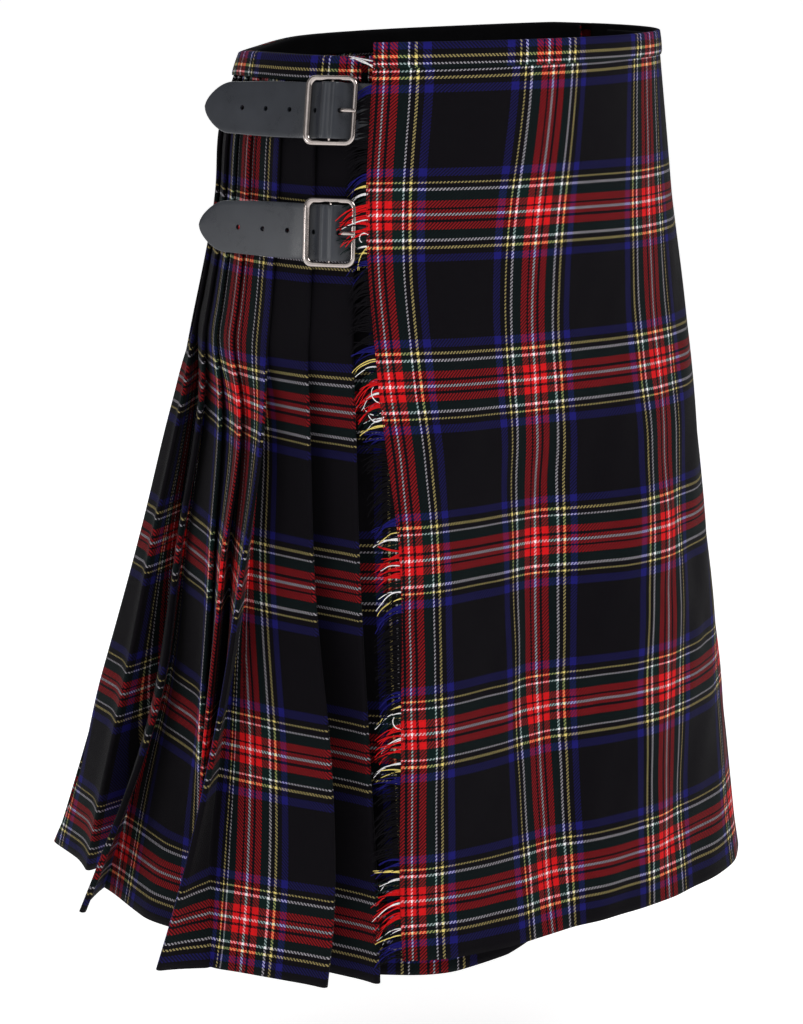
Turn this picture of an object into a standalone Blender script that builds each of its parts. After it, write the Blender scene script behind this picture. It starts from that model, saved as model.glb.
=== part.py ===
# A scottish kilt, worn: fringed over apron, knife pleats round the back, under apron,
# self-cloth waistband, two leather straps on the right hip and one on the left.
# Metres, +Z up.  The wearer faces -Y, so the wearer's right hip is at -X.
# Angles go round the waist from the front centre towards the wearer's left.

import math

import bmesh
import bpy
import numpy as np
from mathutils import Vector

OBJECT_NAME = "scottish_kilt"

# Cloth
CLOTH = 0.0011            # thickness of the tartan cloth
GAP = 0.0003              # clearance at a seam
LAYER = 0.0018            # from the middle of one pleat layer to the middle of the next
OPEN_LAYER = 0.0046       # the same where a fold turns, down at the hem
RISE = 0.035              # top edge above the waist mount at the origin
BAND_HEIGHT = 0.0165      # waistband, top edge to seam
HEM_DROP = 0.6035         # top edge to hem, measured down the cloth
APRON_DROP_SHARE = 0.988  # the over apron's right edge hangs a little shorter
# levels at which the aprons and the pleats have their rows of points
BODY_DROPS = (0.0015, 0.018, 0.065, 0.120, 0.175, 0.225, 0.280, 0.345, 0.420, 0.505, HEM_DROP)
APRON_COLUMNS = 28
UNDER_COLUMNS = 25
BAND_COLUMNS = 38
WAIST_RADIUS = 0.15       # typical, to turn a small clearance into degrees
HIP_RADIUS = 0.20

# Over apron: one row for each level down the cloth, with the angle of its fringed edge
# and its distance from the middle at each of FRONT_ANGLES.
FRONT_ANGLES = (-70, -55, -40, -25, -10, 5, 20, 40, 60, 80)
FRONT_SECTIONS = (
    # drop,  edge,   -70,   -55,   -40,   -25,   -10,     5,    20,    40,    60,    80
    (0.000, -70.0, 0.1590, 0.1530, 0.1465, 0.1415, 0.1385, 0.1380, 0.1405, 0.1460, 0.1530, 0.1580),
    (0.112, -71.0, 0.1672, 0.1555, 0.1440, 0.1390, 0.1360, 0.1390, 0.1460, 0.1575, 0.1680, 0.1730),
    (0.224, -67.5, 0.1770, 0.1620, 0.1450, 0.1370, 0.1360, 0.1430, 0.1545, 0.1725, 0.1805, 0.1840),
    (0.335, -61.7, 0.1950, 0.1770, 0.1470, 0.1320, 0.1410, 0.1575, 0.1670, 0.1840, 0.1960, 0.2000),
    (0.446, -60.0, 0.2110, 0.1980, 0.1650, 0.1450, 0.1500, 0.1635, 0.1755, 0.1955, 0.2105, 0.2175),
    (0.558, -60.0, 0.2170, 0.2030, 0.1800, 0.1610, 0.1645, 0.1705, 0.1810, 0.2075, 0.2255, 0.2360),
    (0.604, -59.4, 0.2200, 0.2080, 0.1890, 0.1700, 0.1675, 0.1740, 0.1870, 0.2145, 0.2320, 0.2430),
)
SIDE_ANGLE = 97.0         # left hip, where the over apron folds under to the first pleat
SIDE_STAND = 0.0038       # how far that fold stands off the ring of the pleats
APRON_RETURN = 8.5        # degrees that the over apron's fold turns back

# Pleated back: rings with their own half width, depths and centre.
PLEAT_RINGS = (
    # drop,  half width, front depth, back depth, centre y
    (0.000, 0.1555, 0.1330, 0.1340, 0.000),
    (0.055, 0.1615, 0.1430, 0.1520, 0.003),
    (0.100, 0.1645, 0.1470, 0.1515, 0.006),
    (0.200, 0.1760, 0.1610, 0.1600, 0.018),
    (0.350, 0.2040, 0.1900, 0.1840, 0.030),
    (0.460, 0.2250, 0.2120, 0.2190, 0.038),
    (0.6035, 0.2450, 0.2260, 0.2650, 0.045),
)
FIRST_EDGE = 110.0        # angle of the first pleat's edge at the waist
EDGE_STEP = 11.0          # angle from one pleat's edge to the next at the waist
STITCHED_DROP = 0.190     # the pleats are sewn flat down to here
UNDERLAP_SHARE = 0.85     # how far a pleat's hidden part reaches under the one before
PLEATS = (
    # hem angle, edge out, face bulge, hem underlap, tuck in; left hip first
    (108.0, 0.006, 0.002, 8.0, 0.034),
    (119.0, -0.004, 0.004, 8.5, 0.040),
    (129.5, 0.010, 0.000, 7.5, 0.046),
    (138.5, -0.006, 0.005, 7.0, 0.036),
    (148.0, 0.006, 0.002, 7.5, 0.044),
    (157.5, -0.008, 0.004, 7.5, 0.040),
    (167.0, 0.009, 0.001, 7.5, 0.048),
    (176.5, -0.004, 0.004, 7.0, 0.038),
    (186.0, 0.007, 0.002, 7.5, 0.046),
    (194.5, -0.007, 0.004, 6.5, 0.038),
    (203.0, 0.006, 0.003, 6.5, 0.044),
    (211.0, 0.004, 0.006, 6.5, 0.042),
    (233.0, -0.006, 0.006, 9.0, 0.046),
    (249.4, -0.045, 0.000, 12.0, 0.045),
    (267.5, -0.010, 0.038, 8.0, 0.083),
    (288.3, 0.007, 0.000, 8.0, 0.022),
    (296.4, 0.000, 0.000, 12.0, 0.026),
)
FACE_POINTS = (
    # share of the way from a pleat's tuck to its edge, share of its bulge there
    (0.28, 0.0),
    (0.55, 0.4),
    (0.80, 1.0),
)
LEFT_PLEATS = 9           # pleats in the left length of cloth; the rest are in the right one

# Height of the top edge round the waist: the wrap climbs from the right hip to the left
# and the over apron ends a finger's width above where the pleats end.
FRONT_TOP = ((-70, -0.002), (0, 0.001), (97, 0.006))
BACK_TOP = ((86, 0.0055), (97, 0.006), (180, 0.003), (225, -0.006), (286, -0.011), (300, -0.011))
# how much lower the waist dips behind, fading out down to BACK_DIP_END
BACK_DIP = (
    (97, 0), (130, -0.0047), (162, -0.0075), (186, -0.0098),
    (210, -0.0096), (230, -0.0078), (242, -0.0034), (258, 0),
)
BACK_DIP_END = 0.2
# the same for the under apron, with how much of the full length it hangs
UNDER_TOP = ((-82, -0.0115), (-50, -0.0095), (-20, -0.0020), (0, -0.0015), (78, 0.0010))
UNDER_DROP_SHARE = ((-82, 1.000), (-50, 0.998), (-38, 0.995), (-28, 0.984), (78, 0.984))

UNDER_START = 8.0         # degrees behind the last pleat's edge
UNDER_END = 78.0
UNDER_INSET = 0.0050      # under apron inside the over apron
UNDER_HANG = 0.0040       # and this much more at the hem
HIP_BLEND = (-50, 20)     # where the under apron starts to go behind the last pleat, and over how far
BAND_SWITCH = 86.0        # where the over apron's band meets the back band
BACK_BAND_END = 287.5     # and where that one meets the under apron's
FRINGE_STRANDS = 74
FRINGE_LENGTH = 0.017
FRINGE_LIFT = 0.0032      # loose ends above the ring of the pleats
STRIP_WIDTH = 0.0022      # fringe's backing strip
STRIP_GAP = 0.0005        # its clearance from the over apron's edge
BAND_CORNER = 0.0008      # bevel where a band folds over the top edge
BAND_EASE = 0.0004        # more room for the pleats between the back band's legs

# Leather and metal
STRAP_WIDTH = 0.0364
STRAP_THICK = 0.0024
STRAP_EASE = 0.0010       # more room where it's sewn behind the over apron's edge
STRAP_END = 0.106         # strap's tip beyond the buckle's centre bar
STRAP_TIP = (
    # back from the tip, share of the width
    (0.0460, 0.98),
    (0.0180, 0.91),
    (0.0120, 0.77),
    (0.0060, 0.52),
    (0.0020, 0.27),
    (0.0000, 0.08),
)
TAB_THICK = 0.0015
TAB_WIDTH = 0.024
HOLE_RADIUS = 0.0017
HOLE_STEP = 0.0203
FIRST_HOLE = 0.0119       # first free hole beyond the buckle's centre bar
FREE_HOLES = 4
BUCKLE_WIDTH = 0.0365     # along the strap
BUCKLE_HEIGHT = 0.0450
WIRE = 0.0020             # half the thickness of the buckle's frame
WIDE_WIRE = 0.0030        # half the width of its far side
BAR = 0.0011              # radius of its centre bar
PRONG = 0.0010
PRONG_EASE = 0.0004       # room round it in the strap's leather
FRAME_LIFT = 0.0075       # buckle's middle plane above the pleats
FRAME_CORNER = 0.0050
RIGHT_STRAPS = (
    # drop of the strap's middle, angle of the buckle, way round that the free end points
    {"name": "upper", "drop": 0.0355, "angle": 281.0, "way": -1},
    {"name": "lower", "drop": 0.1130, "angle": 281.5, "way": -1},
)
LEFT_STRAP = {"name": "left", "drop": 0.0370, "angle": 109.5, "way": 1}
STRAIGHT_FROM = 0.030     # past this length a strap stands off the hip in a straight line
LEFT_INSET = (0.0029, 0.0046)   # left strap inside the over apron: among the aprons, at the fold
LEFT_ROOT = (-0.0780, -0.0680, -0.0580, -0.0480, -0.0400, -0.0340)
RIGHT_ROOT = (-0.0500, -0.0430, -0.0360)

collection = bpy.data.collections.new(OBJECT_NAME)
cutters = bpy.data.collections.new("cutters")


def clear_scene():
    for obj in list(bpy.data.objects):
        bpy.data.objects.remove(obj, do_unlink=True)
    bpy.context.scene.collection.children.link(collection)
    bpy.context.scene.collection.children.link(cutters)
    cutters.hide_render = True


def material(name, colour, roughness, metallic=0.0):
    made = bpy.data.materials.new(name)
    made.use_nodes = True
    shader = made.node_tree.nodes["Principled BSDF"]
    shader.inputs["Base Color"].default_value = (*colour, 1.0)
    shader.inputs["Roughness"].default_value = roughness
    shader.inputs["Metallic"].default_value = metallic
    return made


def smooth(x, knots, values):
    """Cubic curve through the knots; values may have several columns."""
    knots = np.asarray(knots, float)
    values = np.asarray(values, float)
    slopes = np.gradient(values, knots, axis=0)
    x = np.clip(np.asarray(x, float), knots[0], knots[-1])
    i = np.clip(np.searchsorted(knots, x) - 1, 0, len(knots) - 2)
    step = knots[i + 1] - knots[i]
    t = (x - knots[i]) / step
    if values.ndim > 1:
        t = np.asarray(t)[..., None]
        step = np.asarray(step)[..., None]
    start = (2 * t**3 - 3 * t**2 + 1) * values[i] + (t**3 - 2 * t**2 + t) * step * slopes[i]
    end = (3 * t**2 - 2 * t**3) * values[i + 1] + (t**3 - t**2) * step * slopes[i + 1]
    return start + end


def place(angle, radius, height):
    """Points from an angle round the waist, a distance from the middle and a height."""
    angle, radius, height = np.broadcast_arrays(np.radians(angle), radius, height)
    return np.stack([radius * np.sin(angle), -radius * np.cos(angle), height], axis=-1)


def back_radius(angle, drop):
    """Distance to the ring of the pleats: two half ellipses with a shifted centre."""
    table = np.array(PLEAT_RINGS)
    side, front, back, shift = smooth(drop, table[:, 0], table[:, 1:])
    s = np.sin(np.radians(angle))
    c = -np.cos(np.radians(angle))

    def ellipse(depth):
        square = (s / side) ** 2 + (c / depth) ** 2
        half = c * shift / depth**2
        return (half + np.sqrt(half**2 - square * (shift**2 / depth**2 - 1))) / square

    ahead = ellipse(front)
    return np.where(ahead * c < shift, ahead, ellipse(back))


def front_radius(angle, drop):
    """Distance to the over apron's surface."""
    table = np.array(FRONT_SECTIONS)
    row = smooth(drop, table[:, 0], table[:, 2:])
    side = back_radius(SIDE_ANGLE, drop) + SIDE_STAND
    return smooth(angle, (*FRONT_ANGLES, SIDE_ANGLE), (*row, side))


def front_edge(drop):
    table = np.array(FRONT_SECTIONS)
    return float(smooth(drop, table[:, 0], table[:, 1]))


def front_height(angle, drop):
    knots, values = zip(*FRONT_TOP)
    share = np.interp(angle, (knots[0], knots[-1]), (APRON_DROP_SHARE, 1.0))
    return RISE + np.interp(angle, knots, values) - drop * share


def back_height(angle, drop):
    knots, values = zip(*BACK_TOP)
    dip = smooth(angle, *zip(*BACK_DIP)) * np.clip(1 - drop / BACK_DIP_END, 0, 1) ** 2
    return RISE + smooth(angle, knots, values) + dip - drop


def opened(drop):
    """How far the pleats have opened: nothing where they are sewn, all at the hem."""
    t = np.clip((drop - STITCHED_DROP) / (HEM_DROP - STITCHED_DROP), 0.0, 1.0)
    return 1 - (1 - t) ** 1.8


def hung(drop):
    """How far the folds stand out or sink in; it grows more slowly than they open."""
    t = np.clip((drop - STITCHED_DROP) / (HEM_DROP - STITCHED_DROP), 0.0, 1.0)
    return t**1.15


def pleat_folds(drop):
    """Angle and depth below the ring of each pleat's tuck and edge at one level."""
    folds = []
    before = SIDE_ANGLE
    for number, (hem_edge, out, bulge, underlap, tuck) in enumerate(PLEATS):
        waist_edge = FIRST_EDGE + EDGE_STEP * number
        edge = waist_edge + (hem_edge - waist_edge) * opened(drop)
        waist_under = EDGE_STEP * UNDERLAP_SHARE
        under = waist_under + (underlap - waist_under) * opened(drop)
        folds.append({
            "edge": edge,
            "edge_depth": -out * hung(drop),
            "bulge": bulge * hung(drop),
            "tuck": before - under,
            "tuck_depth": 2 * LAYER * (1 + UNDERLAP_SHARE) + tuck * hung(drop),
        })
        before = edge
    return folds


def last_return(fold):
    """Depth at which the last pleat's return ends, one layer behind its own face."""
    share = UNDER_START / (fold["edge"] - fold["tuck"])
    return fold["edge_depth"] + share * (fold["tuck_depth"] - fold["edge_depth"]) + LAYER


def pleat_route(folds, first, last):
    """Angle, depth and whether the cloth turns back there, along pleats first to last."""
    route = []
    for number in range(first, last):
        fold = folds[number]
        route.append((fold["tuck"], fold["tuck_depth"] - LAYER / 2, True))
        for share, bulge in FACE_POINTS:
            angle = fold["tuck"] + share * (fold["edge"] - fold["tuck"])
            depth = fold["tuck_depth"] + share * (fold["edge_depth"] - fold["tuck_depth"])
            route.append((angle, depth - bulge * fold["bulge"], False))
        route.append((fold["edge"], fold["edge_depth"] + LAYER / 2, True))
        if number < len(PLEATS) - 1:
            after = folds[number + 1]
            middle = (fold["edge"] + after["tuck"]) / 2
            route.append((middle, (fold["edge_depth"] + after["tuck_depth"]) / 2, False))
        else:
            route.append((fold["edge"] - UNDER_START, last_return(fold), False))
    if last < len(PLEATS):
        route.append((folds[last]["tuck"], folds[last]["tuck_depth"] - LAYER / 2, True))
    return route


def pleat_line(drop, first, last):
    """The folded line of pleats first to last at one level; a turn is a hairpin of 3 points."""
    route = pleat_route(pleat_folds(drop), first, last)
    angles = np.array([angle for angle, _, _ in route])
    depths = np.array([depth for _, depth, _ in route])
    plan = place(angles, back_radius(angles, drop) - depths, 0.0)[:, :2]
    half = (LAYER + (OPEN_LAYER - LAYER) * hung(drop)) / 2
    points = []
    for i, (_, _, turns) in enumerate(route):
        if not turns:
            points.append(plan[i])
            continue
        onward = plan[i + 1] - plan[i] if i + 1 < len(route) else plan[i - 1] - plan[i]
        arrival = plan[i] - plan[i - 1] if i else -onward
        tip = arrival / np.linalg.norm(arrival) - onward / np.linalg.norm(onward)
        tip /= np.linalg.norm(tip)
        out = np.array([tip[1], -tip[0]])
        out *= np.sign(out @ plan[i]) * half
        heel = plan[i] - tip * half
        if i:
            points.append(heel + out)
        if 0 < i < len(route) - 1:
            points.append(plan[i])
        if i < len(route) - 1:
            points.append(heel - out)
    points = np.array(points)
    around = np.degrees(np.arctan2(points[:, 0], -points[:, 1])) % 360
    return np.column_stack([points, back_height(around, drop)])


def mesh_object(name, points, faces, finish):
    mesh = bpy.data.meshes.new(name)
    mesh.from_pydata([tuple(p) for p in points], [], faces)
    mesh.update()
    obj = bpy.data.objects.new(name, mesh)
    collection.objects.link(obj)
    mesh.materials.append(finish)
    return obj


def loft(name, rows, finish, around=False, capped=False):
    """Quads between rows of points; around closes each row, capped closes both ends."""
    rows = np.asarray(rows, float)
    count, width = rows.shape[:2]
    columns = width if around else width - 1
    faces = []
    for i in range(count - 1):
        for j in range(columns):
            k = (j + 1) % width
            faces.append((i * width + j, i * width + k, (i + 1) * width + k, (i + 1) * width + j))
    if capped:
        faces.append(tuple(reversed(range(width))))
        faces.append(tuple((count - 1) * width + j for j in range(width)))
    return mesh_object(name, rows.reshape(-1, 3), faces, finish)


def solidify(obj, thickness):
    wall = obj.modifiers.new("wall", "SOLIDIFY")
    wall.thickness = thickness
    wall.offset = 0.0
    wall.use_even_offset = True
    return obj


# ---- cloth ----

def between_levels(function, angle, drop):
    """A surface's radius as its mesh has it: straight from each level to the next."""
    upper = max(d for d in BODY_DROPS if d <= max(drop, BODY_DROPS[0]))
    lower = min(d for d in BODY_DROPS if d >= min(drop, HEM_DROP))
    share = (drop - upper) / (lower - upper) if lower > upper else 0.0
    return (1 - share) * function(angle, upper) + share * function(angle, lower)


def apron_angles(drop):
    """Columns of the over apron: its fringed edge, the end of its band, the left fold."""
    edge = front_edge(drop)
    turn = math.degrees(LAYER / 2 / HIP_RADIUS)
    side = np.linspace(BAND_SWITCH, SIDE_ANGLE - turn, 3)
    return np.concatenate([np.linspace(edge, BAND_SWITCH, APRON_COLUMNS)[:-1], side])


def make_over_apron(tartan):
    rows = []
    for drop in BODY_DROPS:
        across = apron_angles(drop)
        radius = front_radius(across, drop)
        folded = np.array([SIDE_ANGLE, across[-1], SIDE_ANGLE - APRON_RETURN])
        sunk = PLEATS[0][4] * hung(drop)
        depth = np.array([LAYER / 2, LAYER, LAYER * 1.1 + sunk]) - SIDE_STAND
        angle = np.concatenate([across, folded])
        radius = np.concatenate([radius, back_radius(folded, drop) - depth])
        rows.append(place(angle, radius, front_height(angle, drop)))
    return solidify(loft("over_apron", rows, tartan), CLOTH)


def make_pleats(name, first, last, tartan):
    rows = [pleat_line(drop, first, last) for drop in BODY_DROPS]
    return solidify(loft(name, rows, tartan), CLOTH)


def under_radius(angle, drop):
    """Inside the over apron at the front, and behind the last pleat at the right hip."""
    start, spread = HIP_BLEND
    hip = np.clip((start - angle) / spread, 0, 1)
    hip = hip * hip * (3 - 2 * hip)
    inside = front_radius(np.maximum(angle, FRONT_ANGLES[0]), drop)
    inside = inside - UNDER_INSET - UNDER_HANG * hung(drop)
    behind = back_radius(angle, drop) - last_return(pleat_folds(drop)[-1]) - 1.1 * LAYER
    return inside + (behind - inside) * hip


def under_start(drop):
    return pleat_folds(drop)[-1]["edge"] - 360.0 - UNDER_START


def under_height(angle, drop):
    return RISE + np.interp(angle, *zip(*UNDER_TOP)) - drop * np.interp(angle, *zip(*UNDER_DROP_SHARE))


def under_angles(drop):
    start = under_start(drop)
    return start + (UNDER_END - start) * np.linspace(0, 1, UNDER_COLUMNS)


def make_under_apron(tartan):
    rows = []
    for drop in BODY_DROPS:
        angle = under_angles(drop)
        rows.append(place(angle, under_radius(angle, drop), under_height(angle, drop)))
    return solidify(loft("under_apron", rows, tartan), CLOTH)


def make_band(name, outer, inner, tartan):
    """Strip folded over the top edge; outer and inner give its legs' points at a drop."""
    top = CLOTH / 2
    corner = BAND_CORNER
    rows = []
    for drop in (BAND_HEIGHT, BAND_HEIGHT / 2, top + corner):
        rows.append(outer(drop))
    over = outer(top)
    under = inner(top)
    across = (under - over)[:, :2]
    across = corner * across / np.linalg.norm(across, axis=1)[:, None]
    over[:, :2] += across
    under[:, :2] -= across
    rows += [over, under]
    for drop in (top + corner, BAND_HEIGHT):
        rows.append(inner(drop))
    return solidify(loft(name, rows, tartan), CLOTH)


def make_bands(tartan):
    leg = CLOTH + GAP
    stack = 2 * LAYER * (1 + UNDERLAP_SHARE) + leg + BAND_EASE

    def around(angles, radius, height, out):
        return lambda drop: place(angles, between_levels(radius, angles, drop) + out,
                                  height(angles, drop))

    front = apron_angles(0.0)[:-2]
    front[-1] -= math.degrees(GAP / WAIST_RADIUS)
    make_band("over_apron_band", around(front, front_radius, front_height, leg),
              around(front, front_radius, front_height, -leg), tartan)

    pleated = np.linspace(SIDE_ANGLE + 1.5, BACK_BAND_END, BAND_COLUMNS)
    back = np.concatenate([apron_angles(0.0)[-3:], pleated])

    def outside(angles, drop):
        step = SIDE_STAND * np.clip((FIRST_EDGE - angles) / (FIRST_EDGE - SIDE_ANGLE), 0, 1)
        beyond = back_radius(angles, drop) + step
        return np.where(angles < SIDE_ANGLE, front_radius(angles, drop), beyond)

    make_band("back_band", around(back, outside, back_height, leg),
              around(back, back_radius, back_height, -stack), tartan)

    under = under_angles(0.0)
    start = BACK_BAND_END - 360 + 0.3
    under = np.concatenate([[start], under[under > start + 1.2]])
    make_band("under_apron_band", around(under, under_radius, under_height, leg),
              around(under, under_radius, under_height, -leg), tartan)


def edge_line(beyond, drop):
    """Angle and radius of a line beside the over apron's edge, straight between levels."""
    angles = [front_edge(d) for d in BODY_DROPS]
    radii = [float(front_radius(angle, d)) for angle, d in zip(angles, BODY_DROPS)]
    radius = np.interp(drop, BODY_DROPS, radii)
    angle = np.interp(drop, BODY_DROPS, angles) - math.degrees(beyond / radius)
    return angle, radius


def strand_tip(drop, reach, fall):
    """Where a loose weft end lies on the pleats, this far beyond the apron's edge."""
    angle, radius = edge_line(STRIP_GAP + STRIP_WIDTH + reach, drop)
    lying = float(between_levels(back_radius, angle, drop)) + FRINGE_LIFT
    share = min(1.0, reach / FRINGE_LENGTH)
    height = float(front_height(front_edge(drop), drop)) - fall
    return Vector(place(angle, radius + (max(lying, radius - 0.006) - radius) * share, height))


def make_fringe(tartan):
    """Narrow strip beside the over apron's edge with the loose weft ends drawn from it."""
    cells = FRINGE_STRANDS * 2
    drops = np.linspace(BAND_HEIGHT + 0.001, HEM_DROP, cells + 1)
    half = CLOTH / 2
    rows = []
    for drop in drops:
        height = float(front_height(front_edge(drop), drop))
        corners = ((0, half), (STRIP_WIDTH, half), (STRIP_WIDTH, -half), (0, -half))
        row = []
        for beyond, out in corners:
            angle, radius = edge_line(STRIP_GAP + beyond, drop)
            row.append(place(angle, radius + out, height))
        rows.append(row)
    strip = loft("apron_fringe", rows, tartan, around=True, capped=True)
    shape = bmesh.new()
    shape.from_mesh(strip.data)
    bmesh.ops.recalc_face_normals(shape, faces=shape.faces)
    shape.faces.ensure_lookup_table()
    rng = np.random.default_rng(7)
    # the second face of every other cell looks along the strands
    roots = [shape.faces[4 * cell + 1] for cell in range(0, cells, 2)]
    for number, face in enumerate(roots):
        drop = (drops[2 * number] + drops[2 * number + 1]) / 2
        length = FRINGE_LENGTH * rng.uniform(0.75, 1.15)
        sag = length * rng.uniform(0.15, 0.45)
        sag = min(sag, HEM_DROP - drop)
        if behind_strap(float(front_height(front_edge(drop), drop))):
            continue
        for share, width in ((0.5, 1.0), (1.0, 0.35)):
            made = bmesh.ops.extrude_discrete_faces(shape, faces=[face])["faces"][0]
            middle = made.calc_center_median()
            target = strand_tip(drop, length * share, sag * share**2)
            for vert in made.verts:
                vert.co = target + (vert.co - middle) * width
            face = made
    shape.to_mesh(strip.data)
    shape.free()
    return strip


def behind_strap(height):
    """Whether a strand at this height would lie among a buckle and its strap."""
    heights = [strap_height(strap) for strap in RIGHT_STRAPS]
    low = BUCKLE_HEIGHT / 2 + 0.001
    high = BUCKLE_HEIGHT / 2 + 0.008
    return any(-low < height - middle < high for middle in heights)


# ---- straps and buckles ----

def strap_height(strap):
    return float(back_height(strap["angle"], strap["drop"]))


class HipPath:
    """Route round the hip at a strap's height, measured in metres from its buckle."""

    def __init__(self, strap):
        self.way = strap["way"]
        self.height = strap_height(strap)
        self.angles = strap["angle"] + np.linspace(-45, 60, 211) * self.way
        self.points = self.ring(0.0)
        steps = np.linalg.norm(np.diff(self.points, axis=0), axis=1)
        self.length = np.concatenate([[0.0], np.cumsum(steps)])
        self.length -= np.interp(0.0, (self.angles - strap["angle"]) * self.way, self.length)
        self.lean = (self.ring(STRAP_WIDTH / 2) - self.ring(-STRAP_WIDTH / 2)) / STRAP_WIDTH

    def ring(self, above):
        """Plan points of the pleats' ring this far above the strap's middle."""
        drops = back_height(self.angles, 0.0) - self.height - above
        radii = [between_levels(back_radius, a, d) for a, d in zip(self.angles, drops)]
        return place(self.angles, np.array(radii), 0.0)[:, :2]

    def angle(self, along):
        return float(np.interp(along, self.length, self.angles))

    def radius(self, along):
        return float(np.linalg.norm(self.on(self.points, along)))

    def on(self, values, along):
        return np.array([np.interp(along, self.length, values[:, i]) for i in (0, 1)])

    def at(self, along, lift):
        """Point with the outward, forward and upward directions of the surface there."""
        held = min(along, STRAIGHT_FROM)
        near = 0.003
        forward = self.on(self.points, held + near) - self.on(self.points, held - near)
        forward = Vector((*forward, 0.0)).normalized()
        up = Vector((*self.on(self.lean, held), 1.0)).normalized()
        out = (up.cross(forward) * -self.way).normalized()
        start = Vector((*self.on(self.points, held), self.height))
        return start + forward * (along - held) + out * lift, out, forward, up


def ribbon(name, path, stations, thickness, finish):
    """Leather strip through stations of length along, lift of its middle and width."""
    rows = []
    for along, lift, width in stations:
        point, _, _, up = path.at(along, lift)
        rows.append([point + up * width * share for share in (-0.5, 0.0, 0.5)])
    return solidify(loft(name, rows, finish), thickness)


def strap_root(path, lift):
    """Stations from the strap's sewn end out to the buckle's near bar."""
    wide = STRAP_WIDTH
    stations = []
    if path.way > 0:
        # from the under apron's end, between the aprons and out below the left fold
        for along in LEFT_ROOT:
            angle = path.angle(along)
            drop = float(back_height(angle, 0.0)) - path.height
            inset = LEFT_INSET[0] if angle < UNDER_END + 4 else LEFT_INSET[1]
            radius = float(front_radius(min(angle, SIDE_ANGLE), drop)) - inset
            stations.append((along, radius - path.radius(along), wide))
        return stations + [(-0.0260, lift - 0.0012, wide)]
    for along in RIGHT_ROOT:
        angle = path.angle(along) - 360
        drop = float(back_height(angle + 360, 0.0)) - path.height
        sewn = float(front_radius(angle, drop)) - CLOTH / 2 - GAP - STRAP_THICK / 2 - STRAP_EASE
        stations.append((along, sewn - path.radius(along), wide))
    return stations + [(-0.0250, lift + 0.0003, wide)]


def make_strap(strap, leather):
    path = HipPath(strap)
    flat = CLOTH / 2 + GAP + STRAP_THICK / 2
    over_tab = flat + TAB_THICK + GAP
    top = FRAME_LIFT + BAR + GAP + STRAP_THICK / 2
    wide = STRAP_WIDTH
    stations = strap_root(path, flat) + [
        # along, lift, width
        (-0.0180, flat + 0.0004, wide),
        (-0.0140, flat + 0.0008, wide),
        (-0.0080, (flat + top) / 2, wide),
        (-0.0035, top, wide),
        (0.0032, top, wide),
        (0.0082, (over_tab + top) / 2, wide),
        (0.0140, over_tab, wide),
        (0.0210, over_tab, wide),
        (0.0400, over_tab, wide),
    ]
    stations += [(STRAP_END - back, over_tab, wide * share) for back, share in STRAP_TIP]
    obj = ribbon("strap_" + strap["name"], path, stations, STRAP_THICK, leather)
    for number in range(FREE_HOLES):
        point, out, _, _ = path.at(FIRST_HOLE + HOLE_STEP * number, over_tab)
        bpy.ops.mesh.primitive_cylinder_add(vertices=8, radius=HOLE_RADIUS, depth=0.009)
        cutter = bpy.context.object
        cutter.name = f"hole_{strap['name']}_{number}"
        cutter.rotation_mode = "QUATERNION"
        cutter.rotation_quaternion = out.to_track_quat("Z", "Y")
        cutter.location = point
        cut_from(obj, cutter)
    room = tube("prong_hole_" + strap["name"], *prong_route(path, PRONG + PRONG_EASE), leather, sides=6)
    cut_from(obj, room)
    return path


def prong_route(path, radius):
    """Centres, radii and side axis of the prong, from the centre bar to the frame's near side."""
    centre, out, forward, up = path.at(0.0, FRAME_LIFT)
    side = BUCKLE_WIDTH / 2 - WIRE
    rest = WIRE + PRONG + GAP
    line = (
        # along, lift above the frame's plane
        (-BAR - GAP - PRONG, 0.0006),
        (-0.0070, 0.0016),
        (-0.0120, rest),
        (-side, rest),
        (-side - 0.0024, rest - 0.0002),
    )
    centres = [centre + forward * along + out * high for along, high in line]
    return centres, [(radius, radius)] * len(line), up


def cut_from(obj, cutter):
    move_to_cutters(cutter)
    cut = obj.modifiers.new("hole", "BOOLEAN")
    cut.operation = "DIFFERENCE"
    cut.object = cutter


def move_to_cutters(obj):
    for owner in list(obj.users_collection):
        owner.objects.unlink(obj)
    cutters.objects.link(obj)
    obj.hide_render = True
    obj.display_type = "WIRE"


def tube(name, centres, radii, across, finish, closed=False, sides=8):
    """Round bar through the centres; across is the direction kept as one side axis."""
    rows = []
    count = len(centres)
    for i, centre in enumerate(centres):
        before = centres[i - 1] if i or closed else centre
        after = centres[(i + 1) % count] if i < count - 1 or closed else centre
        along = (after - before).normalized()
        side = along.cross(across).normalized()
        flat, tall = radii[i]
        ring = []
        for j in range(sides):
            turn = 2 * math.pi * (j + 0.5) / sides
            ring.append(centre + side * math.cos(turn) * flat + across * math.sin(turn) * tall)
        rows.append(ring)
    if closed:
        rows.append(rows[0])
    obj = loft(name, rows, finish, around=True, capped=not closed)
    shape = bmesh.new()
    shape.from_mesh(obj.data)
    bmesh.ops.remove_doubles(shape, verts=shape.verts, dist=1e-6)
    bmesh.ops.recalc_face_normals(shape, faces=shape.faces)
    shape.to_mesh(obj.data)
    shape.free()
    return obj


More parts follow.
